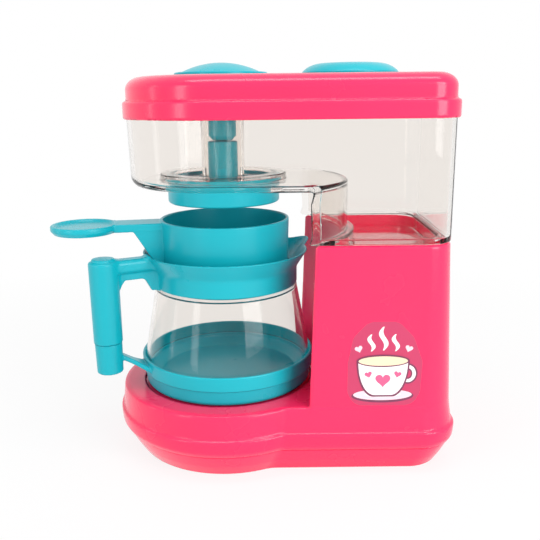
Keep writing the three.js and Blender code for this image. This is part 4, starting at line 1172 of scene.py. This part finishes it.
# The floor takes the object's shadow and is plain white further out
STAGE_NEAR, STAGE_FAR = 160.0, 420.0
STAGE_WHITE = 0.85
FLOOR_HALF = 4000.0
AMBIENT = 0.66

AIM = (30, 0, 95)
# Name, place, width, height and watts of each lamp
LAMPS = [
    ("key", (520, -580, 330), 420, 560, 3.7),
    ("top", (40, -120, 700), 600, 140, 1.4),
    ("left", (-430, -470, 240), 120, 460, 0.7),
    ("side", (-560, -100, 200), 60, 420, 0.2),
]

CAMERA_PLACE = (22.33, -342.39, 175.12)
PITCH, YAW, ROLL = 0.245, 0.001, -0.011
SENSOR_WIDTH, LENS = 36.0, 45.574


def white_rays(tree):
    """1 for the rays that come from the camera, off a gloss or through glass."""
    light_path = tree.nodes.new("ShaderNodeLightPath")
    source = light_path.outputs["Is Camera Ray"]
    for name in ("Is Glossy Ray", "Is Transmission Ray"):
        joined = tree.nodes.new("ShaderNodeMath")
        joined.operation = "MAXIMUM"
        tree.links.new(source, joined.inputs[0])
        tree.links.new(light_path.outputs[name], joined.inputs[1])
        source = joined.outputs[0]
    return source


def blend(tree, share, first, second, output):
    """Mixes two shaders and gives them to the output node."""
    node = tree.nodes.new("ShaderNodeMixShader")
    for place, source in enumerate((share, first, second)):
        tree.links.new(source, node.inputs[place])
    tree.links.new(node.outputs["Shader"], tree.nodes[output].inputs["Surface"])


def stage_material():
    """A white surface that takes the object's shadow and shows as white."""
    n = Nodes("white_stage")
    n.set(Base_Color=(0.88, 0.88, 0.88, 1), Roughness=0.7, Specular_IOR_Level=0.1)
    glow = n.add("ShaderNodeEmission", {"Strength": 1.0})
    distance = n.add("ShaderNodeVectorMath", operation="LENGTH")
    n.link(n.coords, distance.inputs[0])
    away = n.spread(distance.outputs["Value"], STAGE_WHITE, 1.0, STAGE_NEAR * MM, STAGE_FAR * MM)
    share = n.add("ShaderNodeMath", operation="MULTIPLY")
    n.link(white_rays(n.tree), share.inputs[0])
    n.link(away, share.inputs[1])
    blend(n.tree, share.outputs[0], n.shader.outputs["BSDF"], glow.outputs["Emission"], "Material Output")
    return n.material


def make_floor():
    corners = FLOOR_HALF * np.array([(-1, -1, 0), (1, -1, 0), (1, 1, 0), (-1, 1, 0)])
    floor = link("floor", mesh_of("floor", corners, [(0, 1, 2, 3)]))
    floor.data.materials.append(stage_material())


def make_world():
    world = bpy.data.worlds.new("studio")
    bpy.context.scene.world = world
    world.use_nodes = True
    tree = world.node_tree
    ground, seen = tree.nodes["Background"], tree.nodes.new("ShaderNodeBackground")
    for background, strength in ((ground, AMBIENT), (seen, 1.0)):
        background.inputs["Color"].default_value = (1, 1, 1, 1)
        background.inputs["Strength"].default_value = strength
    blend(tree, white_rays(tree), ground.outputs["Background"], seen.outputs["Background"], "World Output")


def area_light(name, place, width, height, power):
    data = bpy.data.lights.new(name, "AREA")
    data.shape = "RECTANGLE"
    data.size = width * MM
    data.size_y = height * MM
    data.energy = power
    lamp = link(name, data)
    lamp.location = Vector(place) * MM
    lamp.rotation_euler = (Vector(AIM) - Vector(place)).to_track_quat("-Z", "Y").to_euler()


def make_camera():
    data = bpy.data.cameras.new("camera")
    data.sensor_width = SENSOR_WIDTH
    data.lens = LENS
    camera = link("camera", data)
    level = math.cos(PITCH)
    ahead = Vector((math.sin(YAW) * level, math.cos(YAW) * level, -math.sin(PITCH)))
    right = ahead.cross(Vector((0, 0, 1))).normalized()
    up = right.cross(ahead)
    across = right * math.cos(ROLL) + up * math.sin(ROLL)
    upward = up * math.cos(ROLL) - right * math.sin(ROLL)
    turn = Matrix((across, upward, -ahead)).transposed().to_4x4()
    camera.matrix_world = Matrix.Translation(Vector(CAMERA_PLACE) * MM) @ turn
    bpy.context.scene.camera = camera


make_camera()
make_world()
make_floor()
for lamp in LAMPS:
    area_light(*lamp)

bpy.context.scene.view_settings.view_transform = "Standard"
